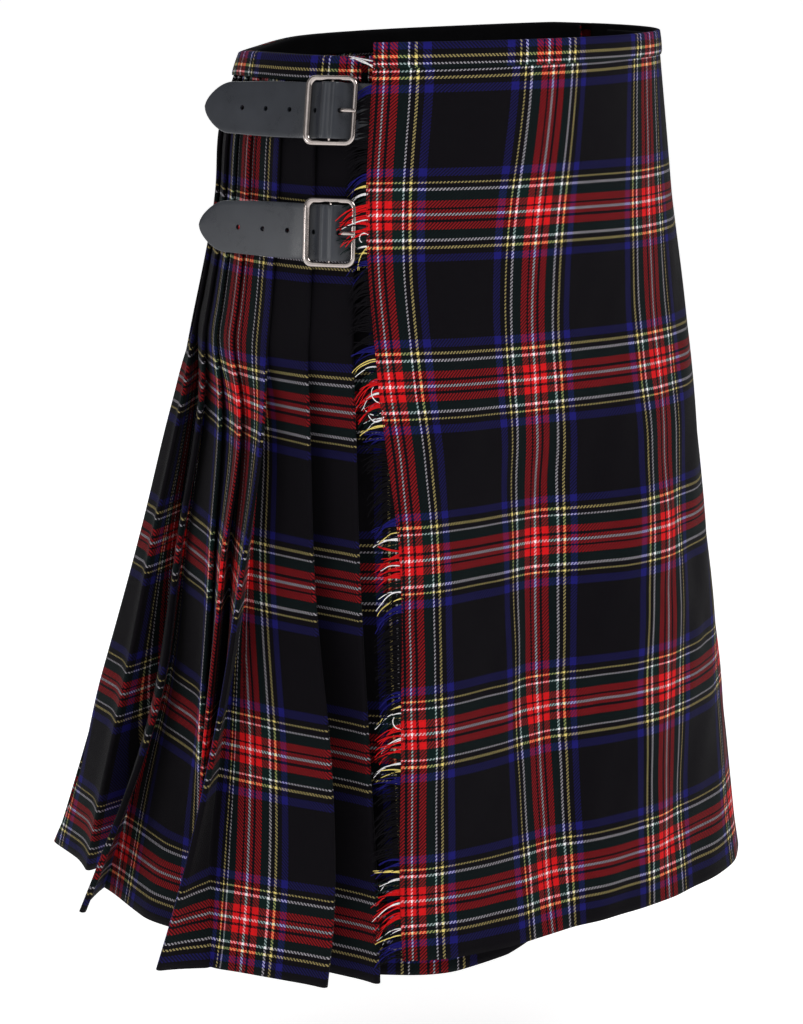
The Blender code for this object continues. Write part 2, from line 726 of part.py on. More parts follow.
def make_buckle(strap, path, metal, leather):
    centre, out, forward, up = path.at(0.0, FRAME_LIFT)
    half_width = BUCKLE_WIDTH / 2 - WIRE
    half_height = BUCKLE_HEIGHT / 2 - WIRE
    corner = FRAME_CORNER
    centres = []
    radii = []
    for quarter, (side, end) in enumerate(((1, 1), (-1, 1), (-1, -1), (1, -1))):
        for step in range(4):
            turn = math.radians(90 * quarter + 30 * step)
            x = side * (half_width - corner) + corner * math.cos(turn)
            z = end * (half_height - corner) + corner * math.sin(turn)
            centres.append(centre + forward * x + up * z)
            far = x > half_width - corner * 0.4
            radii.append((WIDE_WIRE if far else WIRE, WIRE))
    frame = tube("buckle_" + strap["name"], centres, radii, out, metal, closed=True)
    ends = [centre - up * half_height, centre + up * half_height]
    bar = tube("bar_" + strap["name"], ends, [(BAR, BAR)] * 2, out, metal, sides=6)
    move_to_cutters(bar)
    join = frame.modifiers.new("centre bar", "BOOLEAN")
    join.operation = "UNION"
    join.object = bar
    tube("prong_" + strap["name"], *prong_route(path, PRONG), metal, sides=6)

    low = CLOTH / 2 + GAP + TAB_THICK / 2
    round_bar = BAR + GAP + TAB_THICK / 2
    tab = [
        # along, lift, width
        (0.0300, low, TAB_WIDTH),
        (0.0120, low, TAB_WIDTH),
        (0.0060, low + 0.0010, TAB_WIDTH),
        (0.0020, FRAME_LIFT - round_bar - 0.0004, TAB_WIDTH),
        (-0.0006, FRAME_LIFT - round_bar, TAB_WIDTH),
    ]
    ribbon("tab_" + strap["name"], path, tab, TAB_THICK, leather)


def main():
    clear_scene()
    tartan = material("tartan cloth", (0.02, 0.02, 0.03), 0.9)
    leather = material("black leather", (0.02, 0.02, 0.02), 0.5)
    metal = material("bright steel", (0.75, 0.75, 0.75), 0.2, 1.0)
    make_over_apron(tartan)
    make_pleats("pleats_left", 0, LEFT_PLEATS, tartan)
    make_pleats("pleats_right", LEFT_PLEATS, len(PLEATS), tartan)
    make_under_apron(tartan)
    make_bands(tartan)
    make_fringe(tartan)
    for strap in (*RIGHT_STRAPS, LEFT_STRAP):
        path = make_strap(strap, leather)
        make_buckle(strap, path, metal, leather)


main()
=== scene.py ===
import math

import bpy
import numpy as np
from mathutils import Matrix, Vector


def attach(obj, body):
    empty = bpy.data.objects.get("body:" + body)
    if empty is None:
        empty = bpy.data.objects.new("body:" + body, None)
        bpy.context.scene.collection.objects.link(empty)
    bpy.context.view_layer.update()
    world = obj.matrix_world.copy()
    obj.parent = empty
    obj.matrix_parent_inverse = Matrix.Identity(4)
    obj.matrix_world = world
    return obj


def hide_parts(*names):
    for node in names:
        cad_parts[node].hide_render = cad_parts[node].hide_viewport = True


# A worn kilt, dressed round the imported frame.  Metres, +Z up, the wearer faces -Y.
# Angles go round the waist from the front centre towards the wearer's left.

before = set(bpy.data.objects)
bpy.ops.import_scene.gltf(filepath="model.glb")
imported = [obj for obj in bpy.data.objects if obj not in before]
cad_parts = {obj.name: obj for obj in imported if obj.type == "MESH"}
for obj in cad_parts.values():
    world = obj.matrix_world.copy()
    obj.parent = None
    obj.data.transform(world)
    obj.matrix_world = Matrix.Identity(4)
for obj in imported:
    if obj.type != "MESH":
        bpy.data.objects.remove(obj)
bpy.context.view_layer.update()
bpy.context.scene.view_settings.view_transform = "Standard"

cloth = {
    "thick": 0.0010,
    "thread": 0.00064,      # one thread to the next
    "sett": 88,             # threads from one pivot to the other
    "layer": 0.0018,        # one pleat layer to the next where they are sewn
    "openLayer": 0.0046,    # the same at the hem
    "rise": 0.035,          # top edge above the origin
    "hem": 0.6035,          # top edge to hem down the cloth
    "seam": 0.0165,         # top edge to the waistband's seam
    "aboveSeam": 24,        # threads from the hidden pivot down to the seam
    "rows": 150,
    "firstRow": 0.0015,     # the first row of points below the top edge
    "gap": 0.0003,          # air between two layers that lie together
}
thread = cloth["thread"]
layer = cloth["layer"]
hem = cloth["hem"]


# The stretch between two knots that each x is in, its length, and the share of it before x.
def stretch(x, knots):
    x = np.clip(x, knots[0], knots[-1])
    i = np.clip(np.searchsorted(knots, x) - 1, 0, len(knots) - 2)
    step = knots[i + 1] - knots[i]
    return i, step, (x - knots[i]) / step


# Cubic from one value to the next, with the given slope at either end.
def cubic(t, step, low, high, lowSlope, highSlope):
    start = (2 * t**3 - 3 * t**2 + 1) * low + (t**3 - 2 * t**2 + t) * step * lowSlope
    end = (3 * t**2 - 2 * t**3) * high + (t**3 - t**2) * step * highSlope
    return start + end


# Cubic through the knots, with the slope of a parabola through each three neighbours.
def smooth(x, knots, values):
    knots, values = np.asarray(knots, float), np.asarray(values, float)
    slopes = np.gradient(values, knots, axis=0)
    i, step, t = stretch(np.asarray(x, float), knots)
    if values.ndim > 1:
        t, step = t[..., None], step[..., None]
    return cubic(t, step, values[i], values[i + 1], slopes[i], slopes[i + 1])


# x is the radius times the angle's sine, y minus the radius times its cosine
def place(angle, radius, height):
    angle, radius, height = np.broadcast_arrays(np.radians(angle), radius, height)
    return np.stack([radius * np.sin(angle), -radius * np.cos(angle), height], axis=-1)


# the angle round the waist of points given by x and y
def angleOf(plan):
    return np.degrees(np.arctan2(plan[..., 0], -plan[..., 1]))


# distance along each row of points from its first one, a sum of straight steps
def along(points):
    steps = np.linalg.norm(np.diff(points, axis=-2), axis=-1)
    zero = np.zeros(steps.shape[:-1] + (1,))
    return np.concatenate([zero, np.cumsum(steps, axis=-1)], axis=-1)


# the same directions with a length of one
def unit(vectors):
    return vectors / np.linalg.norm(vectors, axis=-1, keepdims=True)


# a bell of height one, this wide
def bell(x, middle, width):
    return np.exp(-(((x - middle) / width) ** 2))


# 0 to 1 between two limits with flat ends
def ease(x, low, high):
    t = np.clip((x - low) / (high - low), 0, 1)
    return t * t * (3 - 2 * t)


frontAngles = (-70, -55, -40, -25, -10, 5, 20, 40, 60, 80)
frontSections = np.array((
    # drop,  edge,   -70,   -55,   -40,   -25,   -10,     5,    20,    40,    60,    80
    (0.000, -69.0, 0.1590, 0.1530, 0.1465, 0.1415, 0.1385, 0.1380, 0.1405, 0.1460, 0.1530, 0.1580),
    (0.112, -70.0, 0.1672, 0.1555, 0.1440, 0.1390, 0.1360, 0.1390, 0.1460, 0.1575, 0.1680, 0.1730),
    (0.224, -66.5, 0.1770, 0.1620, 0.1450, 0.1370, 0.1360, 0.1430, 0.1545, 0.1725, 0.1805, 0.1840),
    (0.335, -61.2, 0.1950, 0.1770, 0.1470, 0.1320, 0.1410, 0.1575, 0.1670, 0.1840, 0.1960, 0.2000),
    (0.446, -60.0, 0.2110, 0.1980, 0.1650, 0.1450, 0.1500, 0.1635, 0.1755, 0.1955, 0.2105, 0.2175),
    (0.558, -60.0, 0.2170, 0.2030, 0.1800, 0.1610, 0.1645, 0.1705, 0.1810, 0.2075, 0.2255, 0.2360),
    (0.604, -59.4, 0.2200, 0.2080, 0.1890, 0.1700, 0.1675, 0.1740, 0.1870, 0.2145, 0.2320, 0.2430),
))
pleatRings = np.array((
    # drop, half width, front depth, back depth, centre y
    (0.0000, 0.1528, 0.1320, 0.1330, 0.000),
    (0.0550, 0.1615, 0.1430, 0.1520, 0.003),
    (0.1000, 0.1645, 0.1470, 0.1515, 0.006),
    (0.2000, 0.1760, 0.1610, 0.1600, 0.018),
    (0.3500, 0.2040, 0.1900, 0.1840, 0.030),
    (0.4600, 0.2250, 0.2120, 0.2190, 0.038),
    (0.6035, 0.2450, 0.2260, 0.2650, 0.045),
))
form = {
    "sideAngle": 97.0,       # left hip, where the over apron folds under
    "sideStand": 0.0038,
    "apronReturn": 8.5,
    "dropShare": 0.988,      # the over apron's right edge hangs a little shorter
    "stitched": 0.190,       # pleats are sewn flat down to here
    "frontTop": ((-70, -0.002), (0, 0.001), (97, 0.006)),
    "backTop": ((86, 0.0055), (97, 0.006), (180, 0.003), (225, -0.006), (286, -0.011), (300, -0.011)),
    # the waist dips behind, fading out down to dipEnd
    "backDip": ((97, 0), (130, -0.0040), (157, -0.0056), (187, -0.0058), (205, -0.0067), (218, -0.0060),
                (230, -0.0045), (242, -0.0015), (258, 0)),
    "dipEnd": 0.2,
}


# two half ellipses, ahead of and behind a shifted centre, met by a ray from the axis
def backRadius(angle, drop):
    side, front, back, shift = np.moveaxis(smooth(drop, pleatRings[:, 0], pleatRings[:, 1:]), -1, 0)
    s = np.sin(np.radians(angle))
    c = -np.cos(np.radians(angle))

    def ellipse(depth):
        square = (s / side) ** 2 + (c / depth) ** 2
        half = c * shift / depth**2
        return (half + np.sqrt(half**2 - square * (shift**2 / depth**2 - 1))) / square

    ahead = ellipse(front)
    return np.where(ahead * c < shift, ahead, ellipse(back))


# the sections' radii blended down the cloth, then a cubic through them round the waist
def frontRadius(angle, drop):
    angle, drop = np.broadcast_arrays(angle, drop)
    flat = drop.ravel()
    rows = smooth(flat, frontSections[:, 0], frontSections[:, 2:])
    side = backRadius(form["sideAngle"], flat) + form["sideStand"]
    rows = np.column_stack([rows, side])
    knots = np.array((*frontAngles, form["sideAngle"]), float)
    slopes = np.gradient(rows, knots, axis=1)
    i, step, t = stretch(angle.ravel(), knots)
    n = np.arange(len(i))
    return cubic(t, step, rows[n, i], rows[n, i + 1], slopes[n, i], slopes[n, i + 1]).reshape(angle.shape)


# angle of the over apron's fringed edge at a drop
def frontEdge(drop):
    return smooth(drop, frontSections[:, 0], frontSections[:, 1])


# Height in front: the top edge there, less the drop times a share that runs evenly round.
def frontHeight(angle, drop):
    knots, values = zip(*form["frontTop"])
    share = np.interp(angle, (knots[0], knots[-1]), (form["dropShare"], 1.0))
    return cloth["rise"] + np.interp(angle, knots, values) - drop * share


# Height behind: the top edge there, less the drop, and a dip that fades with the drop squared.
def backHeight(angle, drop):
    dip = smooth(angle, *zip(*form["backDip"])) * np.clip(1 - drop / form["dipEnd"], 0, 1) ** 2
    return cloth["rise"] + smooth(angle, *zip(*form["backTop"])) + dip - drop


# share of the way from the end of the stitching to the hem
def below(drop):
    return np.clip((drop - form["stitched"]) / (hem - form["stitched"]), 0, 1)


# how far the pleats have opened at a drop, most of it soon below the stitching
def opened(drop):
    return 1 - (1 - below(drop)) ** 1.8


# how far the cloth has swung free at a drop, nearly in even steps
def hung(drop):
    return below(drop) ** 1.15


# the sett's coordinate down the cloth, counted in threads from a pivot under the waistband
def downCloth(drop):
    return drop - cloth["seam"] + cloth["aboveSeam"] * thread


# Quads over a grid of points; around joins its last column to its first.
def gridFaces(rows, columns, around=False):
    i, j = np.meshgrid(np.arange(rows - 1), np.arange(columns if around else columns - 1), indexing="ij")
    k = (j + 1) % columns
    corners = (i * columns + j, i * columns + k, (i + 1) * columns + k, (i + 1) * columns + j)
    return np.stack(corners, axis=-1).reshape(-1, 4)


# links a new object that holds the data
def addObject(name, data):
    made = bpy.data.objects.new(name, data)
    bpy.context.scene.collection.objects.link(made)
    return made


# A mesh of the points and faces; each map gives two values to every point.
def newPiece(name, points, faces, finish, replaced, maps=None):
    mesh = bpy.data.meshes.new(name)
    mesh.from_pydata(points.reshape(-1, 3).tolist(), [], faces, shade_flat=False)
    corners = np.empty(len(mesh.loops), np.int32)
    mesh.loops.foreach_get("vertex_index", corners)
    for label, pair in (maps or {}).items():
        values = np.stack(pair, axis=-1).reshape(-1, 2).astype(np.float32)
        mesh.uv_layers.new(name=label).data.foreach_set("uv", values[corners].ravel())
    mesh.materials.append(finish)
    piece = addObject(name, mesh)
    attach(piece, "root")
    if replaced:
        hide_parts(replaced)
    return piece


# Thin cloth with its middle surface through a grid of points.  across and down place the sett;
# run is the true distance across, for the weave, where it isn't the same.
def clothShell(name, points, across, down, finish, replaced, run=None):
    maps = {"cloth": (across, down), "weave": (across if run is None else run, down)}
    piece = newPiece(name, points, gridFaces(*points.shape[:2]).tolist(), finish, replaced, maps)
    wall = piece.modifiers.new("wall", "SOLIDIFY")
    wall.thickness = cloth["thick"]
    wall.offset = 0.0
    return piece


# A node's output, with the arithmetic on it written as plain expressions.
class Wire:
    def __init__(self, finish, output):
        self.finish = finish
        self.output = output

    def maths(self, operation, *values):
        return self.finish.node("ShaderNodeMath", {"operation": operation}, dict(enumerate(values)))

    def __add__(self, other):
        return self.maths("ADD", self, other)

    def __sub__(self, other):
        return self.maths("SUBTRACT", self, other)

    def __rsub__(self, other):
        return self.maths("SUBTRACT", other, self)

    def __mul__(self, other):
        return self.maths("MULTIPLY", self, other)

    def __truediv__(self, other):
        return self.maths("DIVIDE", self, other)

    def __mod__(self, other):
        return self.maths("FLOORED_MODULO", self, other)

    def __lt__(self, other):
        return self.maths("LESS_THAN", self, other)

    __radd__ = __add__
    __rmul__ = __mul__

    def floor(self):
        return self.maths("FLOOR", self)

    def sine(self):
        return self.maths("SINE", self)

    def size(self):
        return self.maths("ABSOLUTE", self)

    def pingPong(self, top):
        return self.maths("PINGPONG", self, top)


# A material that nodes are added to; feed joins a wire to one of its shader's sockets.
class Finish:
    def __init__(self, name, **constants):
        self.material = bpy.data.materials.new(name)
        self.material.use_nodes = True
        self.tree = self.material.node_tree
        self.shader = self.tree.nodes["Principled BSDF"]
        for socket, value in constants.items():
            self.shader.inputs[socket.replace("_", " ")].default_value = value

    # Makes a node: its settings first, then the values or wires of its sockets.
    def node(self, kind, settings=None, sockets=None, output=0):
        made = self.tree.nodes.new(kind)
        for name, value in (settings or {}).items():
            if name == "stops":
                ramp = made.color_ramp
                while len(ramp.elements) > 1:
                    ramp.elements.remove(ramp.elements[-1])
                ramp.elements[0].position, ramp.elements[0].color = value[0][0], (*value[0][1], 1)
                for position, colour in value[1:]:
                    ramp.elements.new(position).color = (*colour, 1)
            elif name == "ramp":
                made.color_ramp.interpolation = value
            else:
                setattr(made, name, value)
        for name, value in (sockets or {}).items():
            if isinstance(value, Wire):
                self.tree.links.new(value.output, made.inputs[name])
            else:
                made.inputs[name].default_value = value
        return Wire(self, made.outputs[output])

    def mix(self, share, first, second, blend="MIX"):
        first, second = (v if isinstance(v, Wire) else (*v, 1.0) for v in (first, second))
        return self.node("ShaderNodeMix", {"data_type": "RGBA", "blend_type": blend},
                         {0: share, 6: first, 7: second}, output=2)

    def noise(self, where, scale, detail=2.0, rough=0.5):
        return self.node("ShaderNodeTexNoise", None,
                         {"Vector": where, "Scale": scale, "Detail": detail, "Roughness": rough})

    def parts(self, where):
        split = self.node("ShaderNodeSeparateXYZ", None, {0: where})
        outputs = split.output.node.outputs
        return Wire(self, outputs[0]), Wire(self, outputs[1]), Wire(self, outputs[2])

    def vector(self, x, y, z=0.0):
        return self.node("ShaderNodeCombineXYZ", None, {0: x, 1: y, 2: z})

    def feed(self, socket, wire):
        self.tree.links.new(wire.output, self.shader.inputs[socket])

    def bump(self, height, distance, strength=1.0):
        self.feed("Normal", self.node("ShaderNodeBump", None,
                                      {"Strength": strength, "Distance": distance, "Height": height}))


# a screen colour as the linear light that a shader wants
def colour(*screen):
    return tuple(((c / 255 + 0.055) / 1.055) ** 2.4 if c > 10 else c / 255 / 12.92 for c in screen)


tartan = {
    "black": (11, 9, 13),
    "red": (204, 22, 26),
    "white": (238, 236, 238),
    "yellow": (232, 210, 120),
    "blue": (26, 24, 98),
    "green": (10, 27, 25),
    # half the sett: threads of each colour from the white pivot
    "order": (("white", 1.2), ("red", 3.7), ("black", 2.5), ("red", 7.4), ("green", 10.1), ("white", 2.3),
              ("black", 5.0), ("yellow", 2.3), ("black", 5.5), ("blue", 8.2), ("black", 39.8)),
    "weave": 0.00060,       # one woven thread to the next
    "depth": 0.2,           # how much of the thread beneath shows through
    "rough": 0.86,
    "sheen": 0.02,
}


# each colour's place on the ramp, from one pivot to the next
def settStops():
    stops = []
    position = 0
    for name, count in tartan["order"]:
        stops.append((position / cloth["sett"], colour(*tartan[name])))
        position += count
    return stops


# Coloured threads both ways, one over the other in twos: a 2 and 2 twill.
# lean is 1 where the ridges climb to the right, -1 where they fall.
def tartanFinish(name, lean=1):
    made = Finish(name, Sheen_Weight=tartan["sheen"], Sheen_Roughness=0.4, Specular_IOR_Level=0.06)
    where = made.node("ShaderNodeUVMap", {"uv_map": "cloth"})
    across, down, _ = made.parts(where)
    weave = tartan["weave"]
    sett = cloth["sett"]
    run, _, _ = made.parts(made.node("ShaderNodeUVMap", {"uv_map": "weave"}))
    sway = (made.noise(where, 9.0, 2.0) - 0.5) * 2.4
    x = run / weave + sway
    y = down / weave + (made.noise(where, 7.0, 2.0) - 0.5) * 2.0
    i, j = x.floor(), y.floor()
    column = across / thread + (i - x + sway + 0.5) * (weave / thread)
    ramps = {"ramp": "CONSTANT", "stops": settStops()}
    warp = made.node("ShaderNodeValToRGB", ramps, {0: column.pingPong(sett) / sett})
    weft = made.node("ShaderNodeValToRGB", ramps, {0: ((j + 0.5) * (weave / thread)).pingPong(sett) / sett})
    over = ((i + j * lean) % 4) < 1.5
    above = made.node("ShaderNodeGamma", None, {0: made.mix(over, weft, warp), 1: 1 - tartan["depth"]})
    beneath = made.node("ShaderNodeGamma", None, {0: made.mix(over, warp, weft), 1: tartan["depth"]})
    base = made.mix(1.0, above, beneath, "MULTIPLY")
    # each thread's own tone, and wool that takes the dye unevenly
    tone = made.noise(made.vector(i * 0.37, y * 0.05), 1.0, 1.0) * over
    tone = tone + made.noise(made.vector(x * 0.05, j * 0.37, 3.0), 1.0, 1.0) * (1 - over)
    cloud = made.noise(where, 55.0, 4.0, 0.6)
    shade = 0.62 + tone * 0.5 + cloud * 0.26
    base = made.mix(1.0, base, made.vector(shade, shade, shade), "MULTIPLY")
    made.feed("Base Color", base)
    # a thread's rounded top where it lies over, with loose hairs
    ridge = (x * math.pi).sine().size() * over + (y * math.pi).sine().size() * (1 - over)
    hair = made.noise(where, 2600.0, 3.0, 0.7)
    made.bump(ridge * 0.7 + hair * 0.5, 0.00016, 0.8)
    made.feed("Roughness", tartan["rough"] - 0.1 + cloud * 0.2)
    return made.material


# Loose weft ends: each strand has the colour of the weft thread that it comes from.
def fringeFinish():
    made = Finish("looseWool", Roughness=0.9, Specular_IOR_Level=0.1)
    where = made.node("ShaderNodeUVMap", {"uv_map": "cloth"})
    across, down, _ = made.parts(where)
    sett = cloth["sett"]
    weft = made.node("ShaderNodeValToRGB", {"ramp": "CONSTANT", "stops": settStops()},
                     {0: (down / thread).pingPong(sett) / sett})
    shade = 0.75 + made.noise(where, 900.0, 2.0) * 0.6
    made.feed("Base Color", made.mix(1.0, weft, made.vector(shade, shade, shade), "MULTIPLY"))
    twist = (across * 9000.0 + down * 3000.0).sine()
    made.bump(twist, 0.00008, 0.6)
    return made.material


leatherLook = {"colour": (38, 41, 48), "worn": (58, 61, 68), "dark": (22, 24, 28), "grain": 900.0}


# cloudy between two greys, with pores where cells of the grain meet
def leatherFinish():
    made = Finish("bridleLeather", Specular_IOR_Level=0.5, Coat_Roughness=0.25)
    where = made.node("ShaderNodeTexCoord", output=3)
    pores = made.node("ShaderNodeTexVoronoi", {"feature": "DISTANCE_TO_EDGE"},
                      {"Vector": where, "Scale": leatherLook["grain"]})
    cloud = made.noise(where, 40.0, 4.0, 0.6)
    fine = made.noise(where, 1800.0, 3.0, 0.6)
    base = made.mix(cloud, colour(*leatherLook["dark"]), colour(*leatherLook["worn"]))
    base = made.mix(0.45, base, colour(*leatherLook["colour"]))
    made.feed("Base Color", base)
    made.feed("Roughness", 0.20 + cloud * 0.12 + fine * 0.06)
    made.bump(pores * 0.6 + fine * 0.5, 0.00010, 0.55)
    return made.material


# bright nickel, a little cloudy
def steelFinish():
    made = Finish("nickelSteel", Metallic=1.0)
    where = made.node("ShaderNodeTexCoord", output=3)
    cloud = made.noise(where, 120.0, 3.0, 0.6)
    fine = made.noise(where, 2500.0, 2.0, 0.6)
    made.feed("Base Color", made.mix(cloud, colour(146, 136, 133), colour(196, 186, 181)))
    made.feed("Roughness", 0.07 + cloud * 0.08 + fine * 0.05)
    made.bump(fine, 0.00003, 0.4)
    return made.material


# near black, for a black lining and painted shade inside the waist; woven as one sine across times another
# down
def innerBlackAndShadeFinish():
    made = Finish("blackLiningAndShade", Specular_IOR_Level=0.04)
    where = made.node("ShaderNodeUVMap", {"uv_map": "cloth"})
    across, down, _ = made.parts(where)
    weave = (across * math.pi / 0.0005).sine() * (down * math.pi / 0.0005).sine()
    cloud = made.noise(where, 60.0, 3.0)
    made.feed("Base Color", made.mix(cloud, (0.0025, 0.0025, 0.003), (0.006, 0.006, 0.007)))
    made.feed("Roughness", 0.85 + cloud * 0.1)
    made.bump(weave, 0.0001, 0.6)
    return made.material


bodyTartan = tartanFinish("tartanRising", 1)
bandTartan = tartanFinish("tartanFalling", -1)
woolEnds = fringeFinish()
leather = leatherFinish()
steel = steelFinish()
innerBlackAndShade = innerBlackAndShadeFinish()
print("finishes made")


# drops of the rows of points, evenly from the top edge to the hem
def dropRows(count):
    return np.linspace(cloth["firstRow"], hem, count)


overApron = {
    "columns": 150,
    "edgeToPivot": 9.5,      # threads from the fringed edge to the first white line
    "foldSamples": 6,
    "returnSamples": 5,
    "hipRadius": 0.20,
    "returnSink": 0.034,     # how far the return swings in at the hem
    # soft creases: angle, drop, half width in degrees, half length, depth out of the cloth, lean in degrees
    "creases": (
        (-48, 0.330, 5.0, 0.10, -0.0012, 6),
        (-30, 0.420, 4.0, 0.12, -0.0020, -8),
        (-12, 0.300, 5.0, 0.10, 0.0012, 5),
        (12, 0.470, 5.0, 0.12, 0.0016, -6),
        (30, 0.380, 5.0, 0.09, -0.0016, 10),
        (52, 0.500, 5.0, 0.10, 0.0014, 5),
        (70, 0.330, 5.0, 0.12, -0.0014, -6),
        (-58, 0.520, 4.0, 0.09, 0.0010, -4),
        (-5, 0.130, 7.0, 0.05, 0.0010, 8),
        (40, 0.150, 7.0, 0.06, -0.0010, -8),
    ),
    "sag": 0.0006,
    # how far the woven lines wander, in millimetres, at the three groups of lines across
    "lines": (0.0, 0.1126, 0.2253),
    "sideways": (
        (0.000, -1.0, -4.5, 3.6), (0.045, -1.5, -4.9, 3.1), (0.075, -1.3, -3.5, 1.7), (0.110, -1.0, 0.0, 1.5),
        (0.157, -0.8, 4.9, 2.3), (0.184, -1.0, 7.0, 3.3), (0.230, -1.5, 5.5, 2.0), (0.270, -2.5, 4.4, 1.5),
        (0.294, -1.5, 6.0, 4.0), (0.340, 0.0, 4.5, 4.5), (0.376, 1.0, 3.0, 4.8), (0.406, 0.0, 0.9, 2.6),
        (0.450, -0.8, 0.3, 2.0), (0.489, -1.5, 0.0, 2.2), (0.518, -2.0, 0.7, 3.0), (0.604, -0.6, 1.0, 1.5),
    ),
    "upward": (
        (0.000, -1.5, -0.3, 1.1), (0.110, 2.6, 1.6, 0.0), (0.210, 3.3, 2.0, 1.0), (0.325, 2.6, 1.8, 1.1),
        (0.435, 2.2, 1.6, 1.1), (0.550, 1.4, 1.5, 1.4), (0.604, 1.4, 1.5, 1.4),
    ),
}


# Straight between the listed groups across, smooth from level to level down.
def wander(table, lines, across, drops):
    table = np.array(table)
    knots = np.stack([smooth(drops, table[:, 0], table[:, k]) for k in range(1, table.shape[1])], axis=1)
    i, _, share = stretch(across, np.array(lines))
    row = np.arange(len(drops))[:, None]
    share = ease(share, 0, 1)
    return (knots[row, i] * (1 - share) + knots[row, i + 1] * share) / 1000


# each crease is one bell round the waist times another down the cloth, leaning as it goes down
def creaseDepth(angle, drop, creases):
    total = np.zeros(np.broadcast(angle, drop).shape)
    for middle, level, width, length, out, lean in creases:
        centre = middle + lean * (drop - level) / length
        total = total + out * bell(angle, centre, width) * bell(drop, level, length)
    return total


# Rows from the fringed edge round to the left hip: the front's radius with its creases and two
# crossed waves, then half a circle that turns under, and a straight run back to the first tuck.
def overApronRows(drops):
    d = drops[:, None]
    edge = frontEdge(drops)[:, None]
    turn = math.degrees(layer / 2 / overApron["hipRadius"])
    side = form["sideAngle"]
    across = edge + (side - turn - edge) * np.linspace(0, 1, overApron["columns"])[None, :]
    radius = frontRadius(across, d) + creaseDepth(across, d, overApron["creases"])
    wave = np.sin(np.radians(across) * 23 + d * 31) * np.sin(d * 47 + np.radians(across) * 5)
    radius = radius + overApron["sag"] * wave * ease(d, 0.05, 0.3)
    plan = place(across, radius, 0.0)[..., :2]

    def hipSpot(angle, stand):
        return place(angle, backRadius(angle, d) + form["sideStand"] - stand, 0.0)[:, 0, :2]

    start, heel = plan[:, -1], hipSpot(side - turn, layer)
    tip = place(side + turn, backRadius(side, d) + form["sideStand"] - layer / 2, 0.0)[:, 0, :2]
    end = hipSpot(side - form["apronReturn"], layer * 1.1 + overApron["returnSink"] * hung(d))
    centre = (start + heel) / 2
    turns = np.linspace(0, math.pi, overApron["foldSamples"] + 2)[1:]
    fold = [centre + (start - centre) * np.cos(t) + (tip - centre) * np.sin(t) for t in turns]
    back = [heel + (end - heel) * s for s in np.linspace(0, 1, overApron["returnSamples"] + 1)[1:]]
    plan = np.concatenate([plan, np.stack(fold + back, axis=1)], axis=1)
    points = np.concatenate([plan, frontHeight(angleOf(plan), d)[..., None]], axis=-1)
    u = along(plan) - overApron["edgeToPivot"] * thread
    v = downCloth(d) + wander(overApron["upward"], overApron["lines"], u, drops)
    return points, u + wander(overApron["sideways"], overApron["lines"], u, drops), v


# the rows as one thin cloth
def makeOverApron():
    return clothShell("overApronCloth", *overApronRows(dropRows(cloth["rows"])), bodyTartan, "over_apron")


# Where sewn: angle of each pleat's edge at the waist.  Those at the back open by formula.
backPleats = (
    # waist angle, hem angle, edge out, face bulge, hem underlap, tuck in; left hip first
    (110.0, 108.0, 0.006, 0.002, 8.0, 0.034),
    (121.5, 119.0, -0.004, 0.004, 8.5, 0.040),
    (133.0, 129.5, 0.010, 0.000, 7.5, 0.046),
    (144.0, 138.5, -0.006, 0.005, 7.0, 0.036),
    (155.0, 148.0, 0.006, 0.002, 7.5, 0.044),
    (166.0, 157.5, -0.008, 0.004, 7.5, 0.040),
    (177.0, 167.0, 0.009, 0.001, 7.5, 0.048),
    (188.0, 176.0, -0.004, 0.004, 7.0, 0.038),
    (199.0, 185.0, 0.007, 0.002, 7.5, 0.046),
    (210.0, 194.0, -0.007, 0.004, 7.0, 0.038),
    (221.0, 202.0, 0.006, 0.003, 6.5, 0.044),
)
foldLevels = np.array((0.0, 0.10, 0.17, 0.190, 0.2264, 0.3391, 0.4517, 0.5644, 0.6035))
sewnLevels = 4               # the first of them, where nothing opens yet
